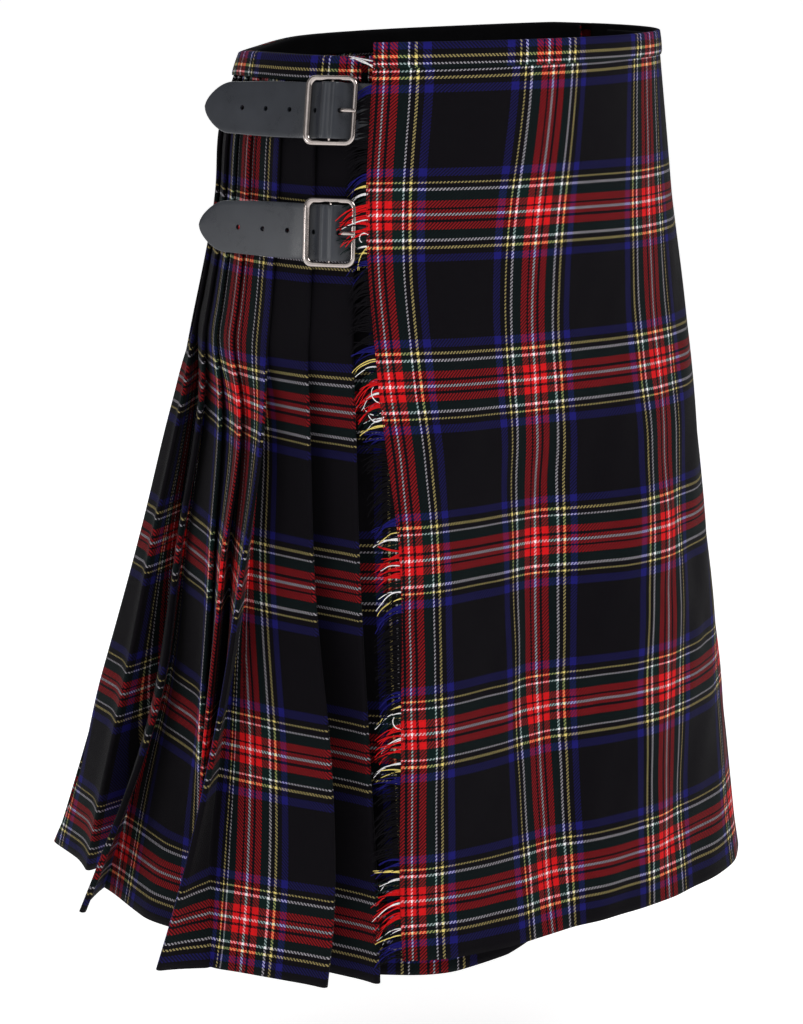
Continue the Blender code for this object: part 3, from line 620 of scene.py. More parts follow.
# The right hip's pleats: angle and distance out of the ring at each level below the sewing,
# for the edge, then for the tuck before it, then how much its face bulges.
hipPleats = {
    # name: waist angle, ((edge angle, radius) at levels), ((tuck angle, radius)), bulges
    "fifth": (231.0, ((232.3, .1865), (232.6, .2120), (230.0, .2340), (221.5, .2560), (217.5, .2640)),
              ((212.0, .1770), (209.5, .1860), (205.5, .1990), (199.5, .2150), (197.0, .2230)),
              (.0070, .0195, .0355, .052, .067)),
    "fourth": (240.5, ((240.5, .1810), (239.2, .1985), (241.4, .2194), (238.6, .2582), (235.8, .2700)),
               ((223.0, .1730), (223.5, .1850), (221.0, .1970), (211.5, .2150), (207.5, .2230)),
               (.001, .003, .006, .006, .006)),
    "narrow": (247.0, ((248.8, .1788), (254.0, .1965), (254.9, .2080), (253.5, .2080), (252.0, .2080)),
               ((234.0, .1715), (233.5, .1880), (232.5, .2040), (227.5, .2390), (223.5, .2540)),
               (.000, -.001, -.003, .009, .013)),
    "third": (254.0, ((258.7, .1828), (262.3, .2085), (263.0, .2270), (260.0, .2300), (258.5, .2330)),
              ((243.0, .1700), (247.5, .1810), (246.0, .1840), (244.0, .1830), (242.5, .1830)),
              (.000, .000, .000, .000, .000)),
    "ridge": (265.3, ((268.0, .1864), (269.8, .2178), (268.6, .2413), (265.5, .2672), (262.5, .2700)),
              ((252.5, .1720), (255.5, .1830), (255.0, .1880), (252.5, .1930), (251.0, .1950)),
              (.000, .000, .001, .003, .004)),
    "first": (275.8, ((277.7, .1789), (281.9, .1965), (288.0, .2190), (289.0, .2265), (288.3, .2305)),
              ((260.0, .1700), (264.5, .1900), (264.8, .2160), (266.3, .2360), (267.2, .2385)),
              (.000, .001, .002, .001, .000)),
    "last": (286.5, ((287.8, .1730), (290.5, .1870), (293.5, .1990), (296.0, .2100), (296.4, .2133)),
             ((269.0, .1650), (272.5, .1740), (274.5, .1850), (276.5, .1960), (277.0, .2000)),
             (.000, .000, .000, .000, .000)),
}
pleatLook = {
    "underlap": 0.85,         # how far a hidden part reaches under the pleat before
    "split": 9,               # pleats in the left length of cloth
    "faceShares": ((0.20, 0.1), (0.42, 0.55), (0.66, 1.0), (0.86, 0.7)),
    "curl": 0.7,              # share of its bulge that a face still has just before its edge
    "curls": {"fifth": 0.3},  # a face that turns in sooner
    "returnShares": (0.35, 0.7),
    "lifts": (0.185, 0.25),   # drops between which a face leaves the ring's curve
    "behind": 8.0,            # last return, degrees behind its edge
    "arc": 7,                 # points round each folded edge
    "rows": 106,
    "step": 0.0042,           # longest quad across
    "soften": (0.5, 0.12),    # how far a point goes to its neighbours' middle, on runs and in folds
    "softPasses": 5,
    # the thread of the sett that lies on each hip pleat's edge
    "hipThreads": {"fifth": -58, "fourth": -54, "narrow": -23, "third": 5, "ridge": 50,
                   "first": 101, "last": 122},
    "hidden": 176,            # threads folded away between two edges
    "weaveBreak": 0.36,       # share of the way from one pleat's edge to the next
    "faceShare": 0.62,        # most of that way that keeps its true scale
    "clear": 0.009,           # cloth past an edge that keeps its true scale
    "clearShare": 0.3,        # or this share of what the face leaves, where that is less
    # millimetres that the woven rows hang lower than on the apron, by drop
    "lower": ((0.0, 0.0), (0.10, 1.2), (0.21, 2.6), (0.325, 3.6), (0.44, 2.6), (0.56, 2.4), (0.604, 2.4)),
}


# Every fold at every row: the angle of each tuck and edge, and its radius, which is the ring's
# with what the edge stands out added or the depth of the tuck taken off.
def pleatFolds(drops):
    folds = []
    waist = [row[0] for row in backPleats] + [row[0] for row in hipPleats.values()]
    waistSteps = np.diff([form["sideAngle"], *waist])
    tuckDepth = 2 * layer * (1 + pleatLook["underlap"])
    wide, free = opened(drops), hung(drops)

    def addFold(edge, out, tuck, depth, bulge, curl):
        folds.append({"edge": edge, "edgeRadius": backRadius(edge, drops) + out,
                      "tuck": tuck, "tuckRadius": backRadius(tuck, drops) - depth,
                      "bulge": bulge, "curl": curl})

    def under(number):
        return pleatLook["underlap"] * min(waistSteps[number], waistSteps[max(number - 1, 0)])

    before = np.full_like(drops, form["sideAngle"])
    for number, (atWaist, atHem, out, bulge, underlap, tuck) in enumerate(backPleats):
        edge = atWaist + (atHem - atWaist) * wide
        tuckAngle = before - (under(number) + (underlap - under(number)) * wide)
        addFold(edge, out * free, tuckAngle, tuckDepth + tuck * free, bulge * free, pleatLook["curl"])
        before = edge

    # level with the ring where it is sewn, then through the listed values
    def down(sewn, values):
        return smooth(drops, foldLevels, np.concatenate([[sewn] * sewnLevels, values]))

    low = foldLevels[sewnLevels:]
    for number, (name, (atWaist, edges, tucks, bulges)) in enumerate(hipPleats.items(), len(backPleats)):
        edges, tucks = np.array(edges), np.array(tucks)
        edgeOut = down(0, edges[:, 1] - backRadius(edges[:, 0], low))
        tuckIn = down(tuckDepth, backRadius(tucks[:, 0], low) - tucks[:, 1])
        addFold(down(atWaist, edges[:, 0]), edgeOut, down(waist[number - 1] - under(number), tucks[:, 0]),
                tuckIn, down(0, bulges), pleatLook["curls"].get(name, pleatLook["curl"]))
    return folds


# Tone of each pleat's edge: the thread of the sett that lies on it, the same all the way down.
def edgeThreads(folds, drops):
    count = len(folds)
    names = [None] * len(backPleats) + list(hipPleats)
    level = np.argmin(np.abs(drops - form["stitched"]))
    spots = np.array([place(f["edge"][level], f["edgeRadius"][level], 0.0)[:2] for f in folds])
    steps = np.linalg.norm(np.diff(spots, axis=0), axis=1) / thread
    edge = np.zeros(count)
    for number in range(count - 1, -1, -1):
        known = pleatLook["hipThreads"].get(names[number])
        edge[number] = known if known is not None else edge[number + 1] - steps[number]
    return edge + np.arange(count) * pleatLook["hidden"]


# Direction square to a run of the line, away from the waist's axis.
def awayFrom(run, point):
    square = unit(np.stack([run[:, 1], -run[:, 0]], axis=-1))
    return square * np.sign((square * point).sum(axis=1, keepdims=True))


# One level's folded line, all rows at once: straight runs joined by half circles, then softened.
# Above the lifts a run keeps the ring's curve, so that nothing behind it comes through.
def pleatRows(drops, first, last):
    folds = pleatFolds(drops)
    threads = edgeThreads(folds, drops)
    half = (layer + (cloth["openLayer"] - layer) * hung(drops))[:, None] / 2
    curved = 1 - ease(drops, *pleatLook["lifts"])

    def spot(angle, radius):
        return place(angle, radius, 0.0)[..., :2]

    def between(angles, radii, share):
        angle = angles[0] + (angles[1] - angles[0]) * share
        depths = [radius - backRadius(end, drops) for end, radius in zip(angles, radii)]
        bent = spot(angle, backRadius(angle, drops) + depths[0] + (depths[1] - depths[0]) * share)
        start, stop = spot(angles[0], radii[0]), spot(angles[1], radii[1])
        straight = start + (stop - start) * np.broadcast_to(share, drops.shape)[:, None]
        return straight + (bent - straight) * curved[:, None]

    # corners of the route: point, kind (turn or plain), thread or None
    route = []
    for number in range(first, last):
        fold = folds[number]
        angles = fold["tuck"], fold["edge"]
        radii = fold["tuckRadius"] + layer / 2, fold["edgeRadius"] - layer / 2
        tuck, edge = spot(angles[0], radii[0]), spot(angles[1], radii[1])
        route.append((tuck, "turn", None))
        out = awayFrom(edge - tuck, edge)
        for share, weight in pleatLook["faceShares"]:
            if share > 0.8:
                weight = fold["curl"]
            point = between(angles, radii, share) + out * (weight * fold["bulge"])[:, None]
            route.append((point, "plain", None))
        route.append((edge, "turn", threads[number]))
        if number < len(folds) - 1:
            after = folds[number + 1]
            ends = after["tuck"], after["tuckRadius"] + layer / 2
            for share in pleatLook["returnShares"]:
                point = between((fold["edge"], ends[0]), (radii[1] - layer, ends[1] + layer), share)
                route.append((point, "plain", None))
        else:
            for back in (pleatLook["behind"] / 2, pleatLook["behind"]):
                share = back / (fold["edge"] - fold["tuck"])
                inside = radii[0] - layer, radii[1] - layer
                route.append((between(angles, inside, 1 - share), "plain", None))
    if last < len(folds):
        after = folds[last]
        route.append((spot(after["tuck"], after["tuckRadius"] + layer / 2), "turn", None))

    line = []       # points of the line, (rows, 2) each
    marks = []      # (index of an edge's tip, its thread)
    turnAngles = np.linspace(0, math.pi, pleatLook["arc"])
    for i, (point, kind, mark) in enumerate(route):
        if kind == "plain":
            line.append(point)
            continue
        onward = route[i + 1][0] - point if i + 1 < len(route) else route[i - 1][0] - point
        arrival = point - route[i - 1][0] if i else -onward
        tip = unit(unit(arrival) - unit(onward)) * half
        out = awayFrom(tip, point) * half
        if i == 0:
            turns = turnAngles[-1:]
        elif i == len(route) - 1:
            turns = turnAngles[:1]
        else:
            turns = turnAngles
        for turn in turns:
            line.append(point - tip + out * math.cos(turn) + tip * math.sin(turn))
            if mark is not None and abs(turn - math.pi / 2) < 1e-6:
                marks.append((len(line) - 1, mark))
    return np.stack(line, axis=1), marks


# Puts extra points into the long runs, the same number in every row, and softens the corners.
def refine(plan, marks):
    longest = np.linalg.norm(np.diff(plan, axis=1), axis=2).max(axis=0)
    counts = np.maximum(1, np.ceil(longest / pleatLook["step"]).astype(int))
    position = np.concatenate([i + np.arange(n) / n for i, n in enumerate(counts)] + [[len(counts)]])
    base = np.minimum(position.astype(int), plan.shape[1] - 2)
    share = (position - base)[None, :, None]
    dense = plan[:, base] * (1 - share) + plan[:, base + 1] * share
    starts = np.concatenate([[0], np.cumsum(counts)])
    loose = np.repeat(counts > 1, counts)
    loose = np.concatenate([loose, [False]])
    weight = np.where(loose, *pleatLook["soften"])[None, 1:-1, None]
    for _ in range(pleatLook["softPasses"]):
        middle = (dense[:, :-2] + dense[:, 2:]) / 2
        dense[:, 1:-1] += (middle - dense[:, 1:-1]) * weight
    return dense, [(starts[index], mark) for index, mark in marks]


# Cloth coordinate across: true scale next to each edge, what is left folded into the tuck.
# The weave's own coordinate keeps its true scale and breaks in the tuck.
def pleatAcross(dense, marks):
    run = along(dense)
    u = np.zeros_like(run)
    woven = np.zeros_like(run)
    clear = pleatLook["clear"]
    indexes = [index for index, _ in marks]
    for (i, low), (j, high) in zip(marks[:-1], marks[1:]):
        length = run[:, j] - run[:, i]
        face = np.minimum(pleatLook["faceShare"] * length, (high - low) * thread - 2 * clear)
        s = run[:, i:j + 1] - run[:, i:i + 1]
        lowEnd = np.minimum(clear, pleatLook["clearShare"] * (length - face))
        u0, u3 = low * thread, high * thread
        scale = (u3 - face - u0 - lowEnd) / (length - face - lowEnd)
        middle = (u0 + lowEnd)[:, None] + (s - lowEnd[:, None]) * scale[:, None]
        fromHigh = u3 - (length[:, None] - s)
        rest = np.where(s > (length - face)[:, None], fromHigh, middle)
        u[:, i:j + 1] = np.where(s < lowEnd[:, None], u0 + s, rest)
        woven[:, i:j + 1] = np.where(s < pleatLook["weaveBreak"] * length[:, None], u0 + s, fromHigh)
    first, last = indexes[0], indexes[-1]
    u[:, :first] = marks[0][1] * thread - (run[:, first:first + 1] - run[:, :first])
    u[:, last:] = marks[-1][1] * thread + (run[:, last:] - run[:, last:last + 1])
    woven[:, :first], woven[:, last:] = u[:, :first], u[:, last:]
    return u, woven


# The line at each row, at the height of the ring's surface where it passes.
def makePleats(name, first, last, replaced):
    drops = dropRows(pleatLook["rows"])
    dense, marks = refine(*pleatRows(drops, first, last))
    u, woven = pleatAcross(dense, marks)
    points = np.concatenate([dense, backHeight(angleOf(dense) % 360, drops[:, None])[..., None]], axis=-1)
    lower = smooth(drops, *np.array(pleatLook["lower"]).T) / 1000
    v = downCloth((drops - lower)[:, None]) + np.zeros_like(u)
    return clothShell(name, points, u, v, bandTartan, replaced, woven)


underApron = {
    "columns": 130,
    "start": 8.0,            # degrees behind the last pleat's edge
    "end": 78.0,
    "inset": 0.0050,         # inside the over apron
    "hang": 0.0040,          # and this much more at the hem
    "blend": (-50, 20),      # where it goes behind the last pleat, and over how far
    "top": ((-82, -0.0115), (-50, -0.0095), (-20, -0.0020), (0, -0.0015), (78, 0.0010)),
    "dropShare": ((-82, 1.000), (-50, 0.998), (-38, 0.995), (-28, 0.984), (78, 0.984)),
    "firstThread": -97.0,
    "wave": 0.0008,
}


# under the over apron in front; one layer behind the last pleat's return at the hip
def underRadius(angle, drop):
    start, spread = underApron["blend"]
    hip = ease(start - angle, 0, spread)
    inside = frontRadius(np.maximum(angle, frontAngles[0]), drop)
    inside = inside - underApron["inset"] - underApron["hang"] * hung(drop)
    fold = pleatFolds(np.ravel(drop))[-1]
    share = pleatLook["behind"] / (fold["edge"] - fold["tuck"])
    back = fold["edge"] - pleatLook["behind"]
    last = fold["edgeRadius"] + share * (fold["tuckRadius"] - fold["edgeRadius"]) - layer
    depth = (backRadius(back, np.ravel(drop)) - last).reshape(np.shape(drop))
    behind = backRadius(angle, drop) - depth - 1.1 * layer
    return inside + (behind - inside) * hip


# where the under apron begins, behind the last pleat's edge
def underStart(drop):
    return pleatFolds(np.ravel(drop))[-1]["edge"].reshape(np.shape(drop)) - 360 - underApron["start"]


# the top edge there, less the drop times a share of its own
def underHeight(angle, drop):
    top = np.interp(angle, *zip(*underApron["top"]))
    return cloth["rise"] + top - drop * np.interp(angle, *zip(*underApron["dropShare"]))


# The under apron's radius from its start to its end, with one wave that grows down the cloth.
def makeUnderApron():
    d = dropRows(cloth["rows"])[:, None]
    start = underStart(d)
    angle = start + (underApron["end"] - start) * np.linspace(0, 1, underApron["columns"])
    d = d + np.zeros_like(angle)
    radius = underRadius(angle, d)
    radius = radius + underApron["wave"] * np.sin(np.radians(angle) * 11 + d * 12) * ease(d, 0.1, 0.5)
    points = place(angle, radius, underHeight(angle, d))
    u = along(points[..., :2]) + underApron["firstThread"] * thread
    return clothShell("underApronCloth", points, u, downCloth(d), bodyTartan, "under_apron")


band = {
    "corner": 0.0009,        # how far it rises over the top edge
    "threadAtSeam": 22,
    "switch": 86.0,          # where the over apron's band meets the back band
    "backEnd": 287.5,
    "columnStep": 0.6,       # degrees
    "seamFold": 0.0005,      # how far its foot rolls in
    "foot": 0.0012,          # over this height
    "swell": 0.0004,
    "backThread": -110,
    "stackEase": 0.0004,     # beyond the pleats' layers that it covers
}


# Profile from the seam up the outside, whose foot rolls in, over the top edge in half a circle's
# steps and down the inside.  outer and inner give the radius of each leg at a drop.
def makeBand(name, angles, outer, inner, height, threads, replaced):
    top = cloth["thick"] / 2 + band["corner"]
    seam = cloth["seam"]
    down = np.linspace(seam, top, 9)
    roll = band["seamFold"] * np.clip((down - seam) / band["foot"] + 1, 0, 1)
    swell = band["swell"] * np.sin(np.clip((seam - down) / seam, 0, 1) * math.pi)
    legs = [place(angles, outer(angles, d) - r + s, height(angles, d)) for d, r, s in zip(down, roll, swell)]
    start, end = legs[-1], place(angles, inner(angles, top), height(angles, top))
    turn = np.linspace(0, math.pi, 9)[1:-1]
    for t in turn:
        over = start + (end - start) * (1 - math.cos(t)) / 2
        over[:, 2] += band["corner"] * math.sin(t) ** 0.5
        legs.append(over)
    legs += [place(angles, inner(angles, d), height(angles, d)) for d in down[::-1]]
    points = np.stack(legs)
    v = along(np.moveaxis(points, 0, 1)).T + band["threadAtSeam"] * thread
    u = along(points[0][None, :, :2])[0] + threads * thread + np.zeros_like(v)
    piece = clothShell(name, points, u, v, bodyTartan, replaced)
    # the inner leg takes the near-black lining, which also paints the shade inside the waist
    piece.data.materials.append(innerBlackAndShade)
    inside = np.repeat(np.arange(len(legs) - 1) >= len(down) + len(turn) // 2, points.shape[1] - 1)
    piece.data.polygons.foreach_set("material_index", inside.astype(np.int32))
    return piece


# the over apron's band, the one round the back and the under apron's, each on its own cloth
def makeBands():
    leg = cloth["thick"] + cloth["gap"]
    stack = 2 * layer * (1 + pleatLook["underlap"]) + leg + band["stackEase"]
    clearance = math.degrees(cloth["gap"] / float(frontRadius(band["switch"], 0.0)))

    def offset(radius, out):
        return lambda angles, drop: radius(angles, drop + np.zeros_like(angles)) + out

    def outside(angles, drop):
        side, firstPleat = form["sideAngle"], backPleats[0][0]
        step = form["sideStand"] * np.clip((firstPleat - angles) / (firstPleat - side), 0, 1)
        ahead = frontRadius(np.minimum(angles, side), drop)
        return np.where(angles < side, ahead, backRadius(angles, drop) + step)

    front = np.arange(float(frontEdge(0.0)), band["switch"] - clearance, band["columnStep"])
    back = np.arange(band["switch"], band["backEnd"], band["columnStep"])
    under = np.arange(band["backEnd"] - 360 + band["columnStep"] / 2, underApron["end"], band["columnStep"])
    return [
        makeBand("overApronBandCloth", front, offset(frontRadius, leg), offset(frontRadius, -leg),
                 frontHeight, -overApron["edgeToPivot"], "over_apron_band"),
        makeBand("backBandCloth", back, offset(outside, leg), offset(backRadius, -stack),
                 backHeight, band["backThread"], "back_band"),
        makeBand("underApronBandCloth", under, offset(underRadius, leg), offset(underRadius, -leg),
                 underHeight, 0, "under_apron_band"),
    ]


fringe = {
    "strands": 600,
    "length": 0.0182,
    "radius": 0.00045,
    "points": 9,
    "ends": (0.001, 0.002),  # bare edge below the band's seam and above the hem
    "jitter": 0.0003,        # how unevenly the ends leave the edge
    "tucked": 0.0012,        # how far inside the edge they start
    "waves": (0.0006, 0.0010),   # how much a strand wavers along itself and up and down
    "scatter": 0.0009,
    "deepest": 0.006,        # no strand lies further in from the edge than this
    "lift": 0.0018,
    "seed": 7,
    "tuft": 0.0085,          # weft ends cling together about this far apart
    # drop, spread and lift of the ends that lie on the lower buckle
    "overBuckle": (0.1150, 0.0105, 0.0105),
    "loose": (
        # pulled ends: drop, length, first slope, bend (degrees), thread
        (0.0120, 0.0210, -6, -3, 26), (0.0170, 0.0210, -40, 45, 26), (0.0150, 0.0200, -10, -12, 26),
        (0.1235, 0.0110, -45, 190, 26), (0.1310, 0.0190, 35, 50, 33), (0.1325, 0.0175, 25, 70, 33),
        (0.2330, 0.0150, 10, -150, 1), (0.2380, 0.0170, 55, -120, 1), (0.2420, 0.0150, 70, -150, 1),
        (0.4450, 0.0130, 30, -160, 26),
    ),
}


# Faces of a tube of so many rows and columns, with a cap at either end.
def tubeFaces(rows, columns):
    ends = np.arange(columns)
    caps = [ends[::-1].tolist(), (ends + (rows - 1) * columns).tolist()]
    return gridFaces(rows, columns, around=True).tolist() + caps


# Each strand runs out of the apron's edge, falls with a power of its length and lies on the
# pleats, with four sides; a loose one bends at an even rate instead.
def makeFringe():
    rng = np.random.default_rng(fringe["seed"])
    count = fringe["strands"]
    first, last = cloth["seam"] + fringe["ends"][0], hem - fringe["ends"][1]
    root = np.linspace(first, last, count) + fringe["jitter"] * rng.uniform(-1, 1, count)
    length = fringe["length"] * rng.uniform(0.8, 1.2, count)
    sag = rng.uniform(0.20, 0.65, count) + 0.2 * np.sin(root * 90)
    group = np.floor(root / fringe["tuft"])
    pull = ((group + 0.5 + 0.3 * np.sin(group * 2.3)) * fringe["tuft"] - root) * rng.uniform(0.3, 0.9, count)
    s = np.linspace(0, 1, fringe["points"])[None, :]
    curl = rng.uniform(-1, 1, count)[:, None]
    reach = length[:, None] * (s - 0.10 * s**3) + fringe["waves"][0] * np.sin(s * 7 + curl * 9) * s
    fall = (length * sag)[:, None] * s**1.7 + pull[:, None] * s**1.2
    fall = fall + fringe["waves"][1] * curl * np.sin(s * 5) * s
    row = downCloth(root)
    loose = np.array(fringe["loose"])
    few = len(loose)
    slope, bend = np.radians(loose[:, 2:3]), np.radians(loose[:, 3:4])
    reach[:few] = loose[:, 1:2] * (np.sin(slope + bend * s) - np.sin(slope)) / bend
    fall[:few] = loose[:, 1:2] * (np.cos(slope) - np.cos(slope + bend * s)) / bend
    root[:few], row[:few] = loose[:, 0], loose[:, 4] * thread
    drop = np.clip(root, 0, hem)[:, None] + np.zeros_like(s)
    edge = frontEdge(drop)
    start = frontRadius(edge, drop)
    level = np.clip(drop + fall, 0, hem)
    angle = frontEdge(level) - np.degrees((reach - fringe["tucked"]) / start)
    middle, spread, above = fringe["overBuckle"]
    lift = fringe["lift"] + above * ease(spread * 1.6 - np.abs(root - middle), 0, spread * 0.6)
    lying = backRadius(angle, level) + (lift + fringe["scatter"] * rng.uniform(-1, 1, count))[:, None]
    share = np.clip(reach / fringe["length"], 0, 1)
    radius = start + (np.maximum(lying, start - fringe["deepest"]) - start) * ease(share, 0.0, 1.0)
    centres = place(angle, radius, frontHeight(edge, drop) - fall)
    ahead = unit(np.gradient(centres, axis=1))
    side = unit(np.cross(ahead, place(angle, 1.0, 0.0)))
    outward = np.cross(side, ahead)
    thick = fringe["radius"] * (1 - 0.55 * s**2) * rng.uniform(0.8, 1.25, count)[:, None]
    turn = np.radians((0, 90, 180, 270))
    ring = side[:, :, None] * np.cos(turn)[:, None] + outward[:, :, None] * np.sin(turn)[:, None]
    points = centres[:, :, None] + ring * thick[:, :, None, None]
    strand = np.array(tubeFaces(fringe["points"], len(turn)))
    starts = np.arange(count) * fringe["points"] * len(turn)
    faces = (strand[None] + starts[:, None, None]).reshape(-1, 4).tolist()
    u = np.broadcast_to(reach[:, :, None], points.shape[:3])
    v = np.broadcast_to(row[:, None, None], points.shape[:3])
    return newPiece("fringeEnds", points, faces, woolEnds, "apron_fringe", {"cloth": (u, v)})


strapLook = {
    "width": 0.0364,
    "thick": 0.0024,
    "ease": 0.0010,
    "end": 0.106,
    # distance back from the tip, share of the width
    "tip": ((0.0460, 0.98), (0.0300, 0.945), (0.0180, 0.90), (0.0120, 0.77), (0.0060, 0.54),
            (0.0030, 0.375), (0.0012, 0.235), (0.0003, 0.11), (0.0000, 0.02)),
    "step": 0.0012,          # one row of points to the next
    "tipRows": (0.0009, 0.0006, 0.0003, 0.00012, 0.0),
    "crown": 0.00025,        # how much thicker its middle is
    "round": 0.0008,
    "hole": 0.0017,
    "holeStep": 0.0203,
    "firstHole": 0.0119,
    "holes": 4,
    "straightFrom": 0.030,
    "path": (-45, 60, 421),  # degrees before and after the buckle that its route is worked out for, points
    "slopeStep": 0.003,      # half the length that its direction is taken over
    # where it is sewn under: distances before the buckle, and insets from the front's radius
    "leftInset": (0.0029, 0.0046),   # among the aprons, and at the fold that closes them
    "leftRoot": (-0.0780, -0.0680, -0.0580, -0.0480, -0.0400, -0.0340),
    "rightRoot": (-0.0500, -0.0430, -0.0360),
    "tabThick": 0.0015,
    "tabWidth": 0.024,
    "tabRound": 0.0005,
}
buckleLook = {
    "width": 0.0365,         # along the strap
    "height": 0.0450,
    "wire": 0.0017,          # half the thickness of the frame
    "wideWire": 0.0023,      # half the width of its far side
    "bar": 0.0011,
    "prong": 0.0014,
    "slot": 0.0068,          # where the prong comes through the leather
    "lift": 0.0075,          # the frame's middle above the pleats
    "corner": 0.0052,
    "square": 2.3,           # 2 is a round section, more is squarer
}
straps = (
    # name, drop of the middle, angle of the buckle, way round that the free end points
    ("upper", 0.0355, 281.0, -1),
    ("lower", 0.1130, 281.5, -1),
    ("left", 0.0370, 109.5, 1),
)


# Route round the hip at a strap's height, in metres from its buckle.
class HipPath:
    def __init__(self, drop, angle, way):
        self.way = way
        self.angles = angle + np.linspace(*strapLook["path"]) * way
        self.height = float(backHeight(np.array(angle), drop))
        self.points = self.ring(0.0)
        self.length = along(self.points[None])[0]
        self.length -= np.interp(0.0, (self.angles - angle) * way, self.length)
        half = strapLook["width"] / 2
        self.lean = (self.ring(half) - self.ring(-half)) / strapLook["width"]

    # plan of the pleats' ring this far above the strap's middle
    def ring(self, above):
        drops = backHeight(self.angles, 0.0) - self.height - above
        return place(self.angles, backRadius(self.angles, drops), 0.0)[:, :2]

    def angle(self, distance):
        return np.interp(distance, self.length, self.angles)

    def on(self, values, distance):
        return np.stack([np.interp(distance, self.length, values[:, i]) for i in (0, 1)], axis=-1)

    def radius(self, distance):
        return np.linalg.norm(self.on(self.points, distance), axis=-1)

    # points with the outward, forward and upward directions of the surface there
    def at(self, distance, lift):
        distance, lift = np.atleast_1d(distance).astype(float), np.atleast_1d(lift).astype(float)
        held = np.minimum(distance, strapLook["straightFrom"])
        flat = np.zeros((len(held), 1))
        step = strapLook["slopeStep"]
        forward = self.on(self.points, held + step) - self.on(self.points, held - step)
        forward = unit(np.concatenate([forward, flat], axis=1))
        up = unit(np.concatenate([self.on(self.lean, held), flat + 1], axis=1))
        out = unit(np.cross(up, forward) * -self.way)
        start = np.concatenate([self.on(self.points, held), flat + self.height], axis=1)
        return start + forward * (distance - held)[:, None] + out * lift[:, None], out, forward, up


# Rounded flat section: across the strap and through it, as shares past the rounding.
def strapSection(count=14):
    turn = np.radians(np.arange(0, 91, 22.5))
    across, through, corner = [], [], []
    for sideways, upward, start in ((1, 1, 0), (-1, 1, 90), (-1, -1, 180), (1, -1, 270)):
        for t in turn + math.radians(start):
            across.append(sideways)
            through.append(upward)
            corner.append((math.cos(t), math.sin(t)))
        if start in (0, 180):
            for share in np.linspace(sideways, -sideways, count)[1:-1]:
                across.append(share)
                through.append(upward)
                corner.append((0.0, upward))
    return np.array(across, float), np.array(through, float), np.array(corner, float)


# A flat band of leather through stations of length, lift and width, with a softened edge.
def leatherStrip(name, path, stations, thick, rounding, replaced):
    table = np.array(stations)
    stop = table[-1, 0]
    tipRows = stop - np.array(strapLook["tipRows"])
    distance = np.arange(table[0, 0], stop, strapLook["step"])
    distance = np.concatenate([distance[distance < tipRows[0] - 0.0001], tipRows])
    lift, width = smooth(distance, table[:, 0], table[:, 1:]).T
    centre, out, _, up = path.at(distance, lift)
    across, through, corner = strapSection()
    half = np.maximum(width / 2 - rounding, 0.0001)[:, None]
    sideways = across[None] * half + corner[None, :, 0] * rounding
    upward = through * (thick / 2 - rounding) + corner[:, 1] * rounding
    upward = upward + np.where(through > 0, strapLook["crown"] * (1 - across**2), 0)
    points = centre[:, None] + up[:, None] * sideways[..., None] + out[:, None] * upward[None, :, None]
    faces = tubeFaces(*points.shape[:2])
    if path.way < 0:
        faces = [face[::-1] for face in faces]
    return newPiece(name, points, faces, leather, replaced)


# Punches round holes through a piece and keeps the result as its mesh.
def punch(piece, spots, radius):
    for point, out in spots:
        bpy.ops.mesh.primitive_cylinder_add(vertices=20, radius=radius, depth=0.009)
        tool = bpy.context.object
        turned = Vector(out).to_track_quat("Z", "Y").to_matrix().to_4x4()
        tool.matrix_world = Matrix.Translation(Vector(point)) @ turned
        cut = piece.modifiers.new("hole", "BOOLEAN")
        cut.operation = "DIFFERENCE"
        cut.solver = "EXACT"
        cut.object = tool
        bpy.context.view_layer.update()
        mesh = bpy.data.meshes.new_from_object(piece.evaluated_get(bpy.context.evaluated_depsgraph_get()))
        piece.modifiers.clear()
        piece.data = mesh
        bpy.data.objects.remove(tool, do_unlink=True)
    piece.data.set_sharp_from_angle(angle=math.radians(50))


# lift of the middle of a leather that lies on the cloth
def lyingLift(thick):
    return cloth["thick"] / 2 + cloth["gap"] + thick / 2


# Stations where a strap is sewn in: its lift is from the pleats' ring to the cloth that holds it.
def sewnStations(path):
    left = path.way > 0
    flat = lyingLift(strapLook["thick"])
    wide = strapLook["width"]
    stations = []
    for distance in strapLook["leftRoot" if left else "rightRoot"]:
        angle = float(path.angle(distance))
        drop = float(backHeight(np.array(angle), 0.0)) - path.height
        if left:
            inset = strapLook["leftInset"][0 if angle < underApron["end"] + 4 else 1]
            sewn = float(frontRadius(min(angle, form["sideAngle"]), drop)) - inset
        else:
            sewn = float(frontRadius(angle - 360, drop)) - flat - strapLook["ease"]
        stations.append((distance, sewn - float(path.radius(distance)), wide))
    return stations + [(-0.0260, flat - 0.0012, wide) if left else (-0.0250, flat + 0.0003, wide)]


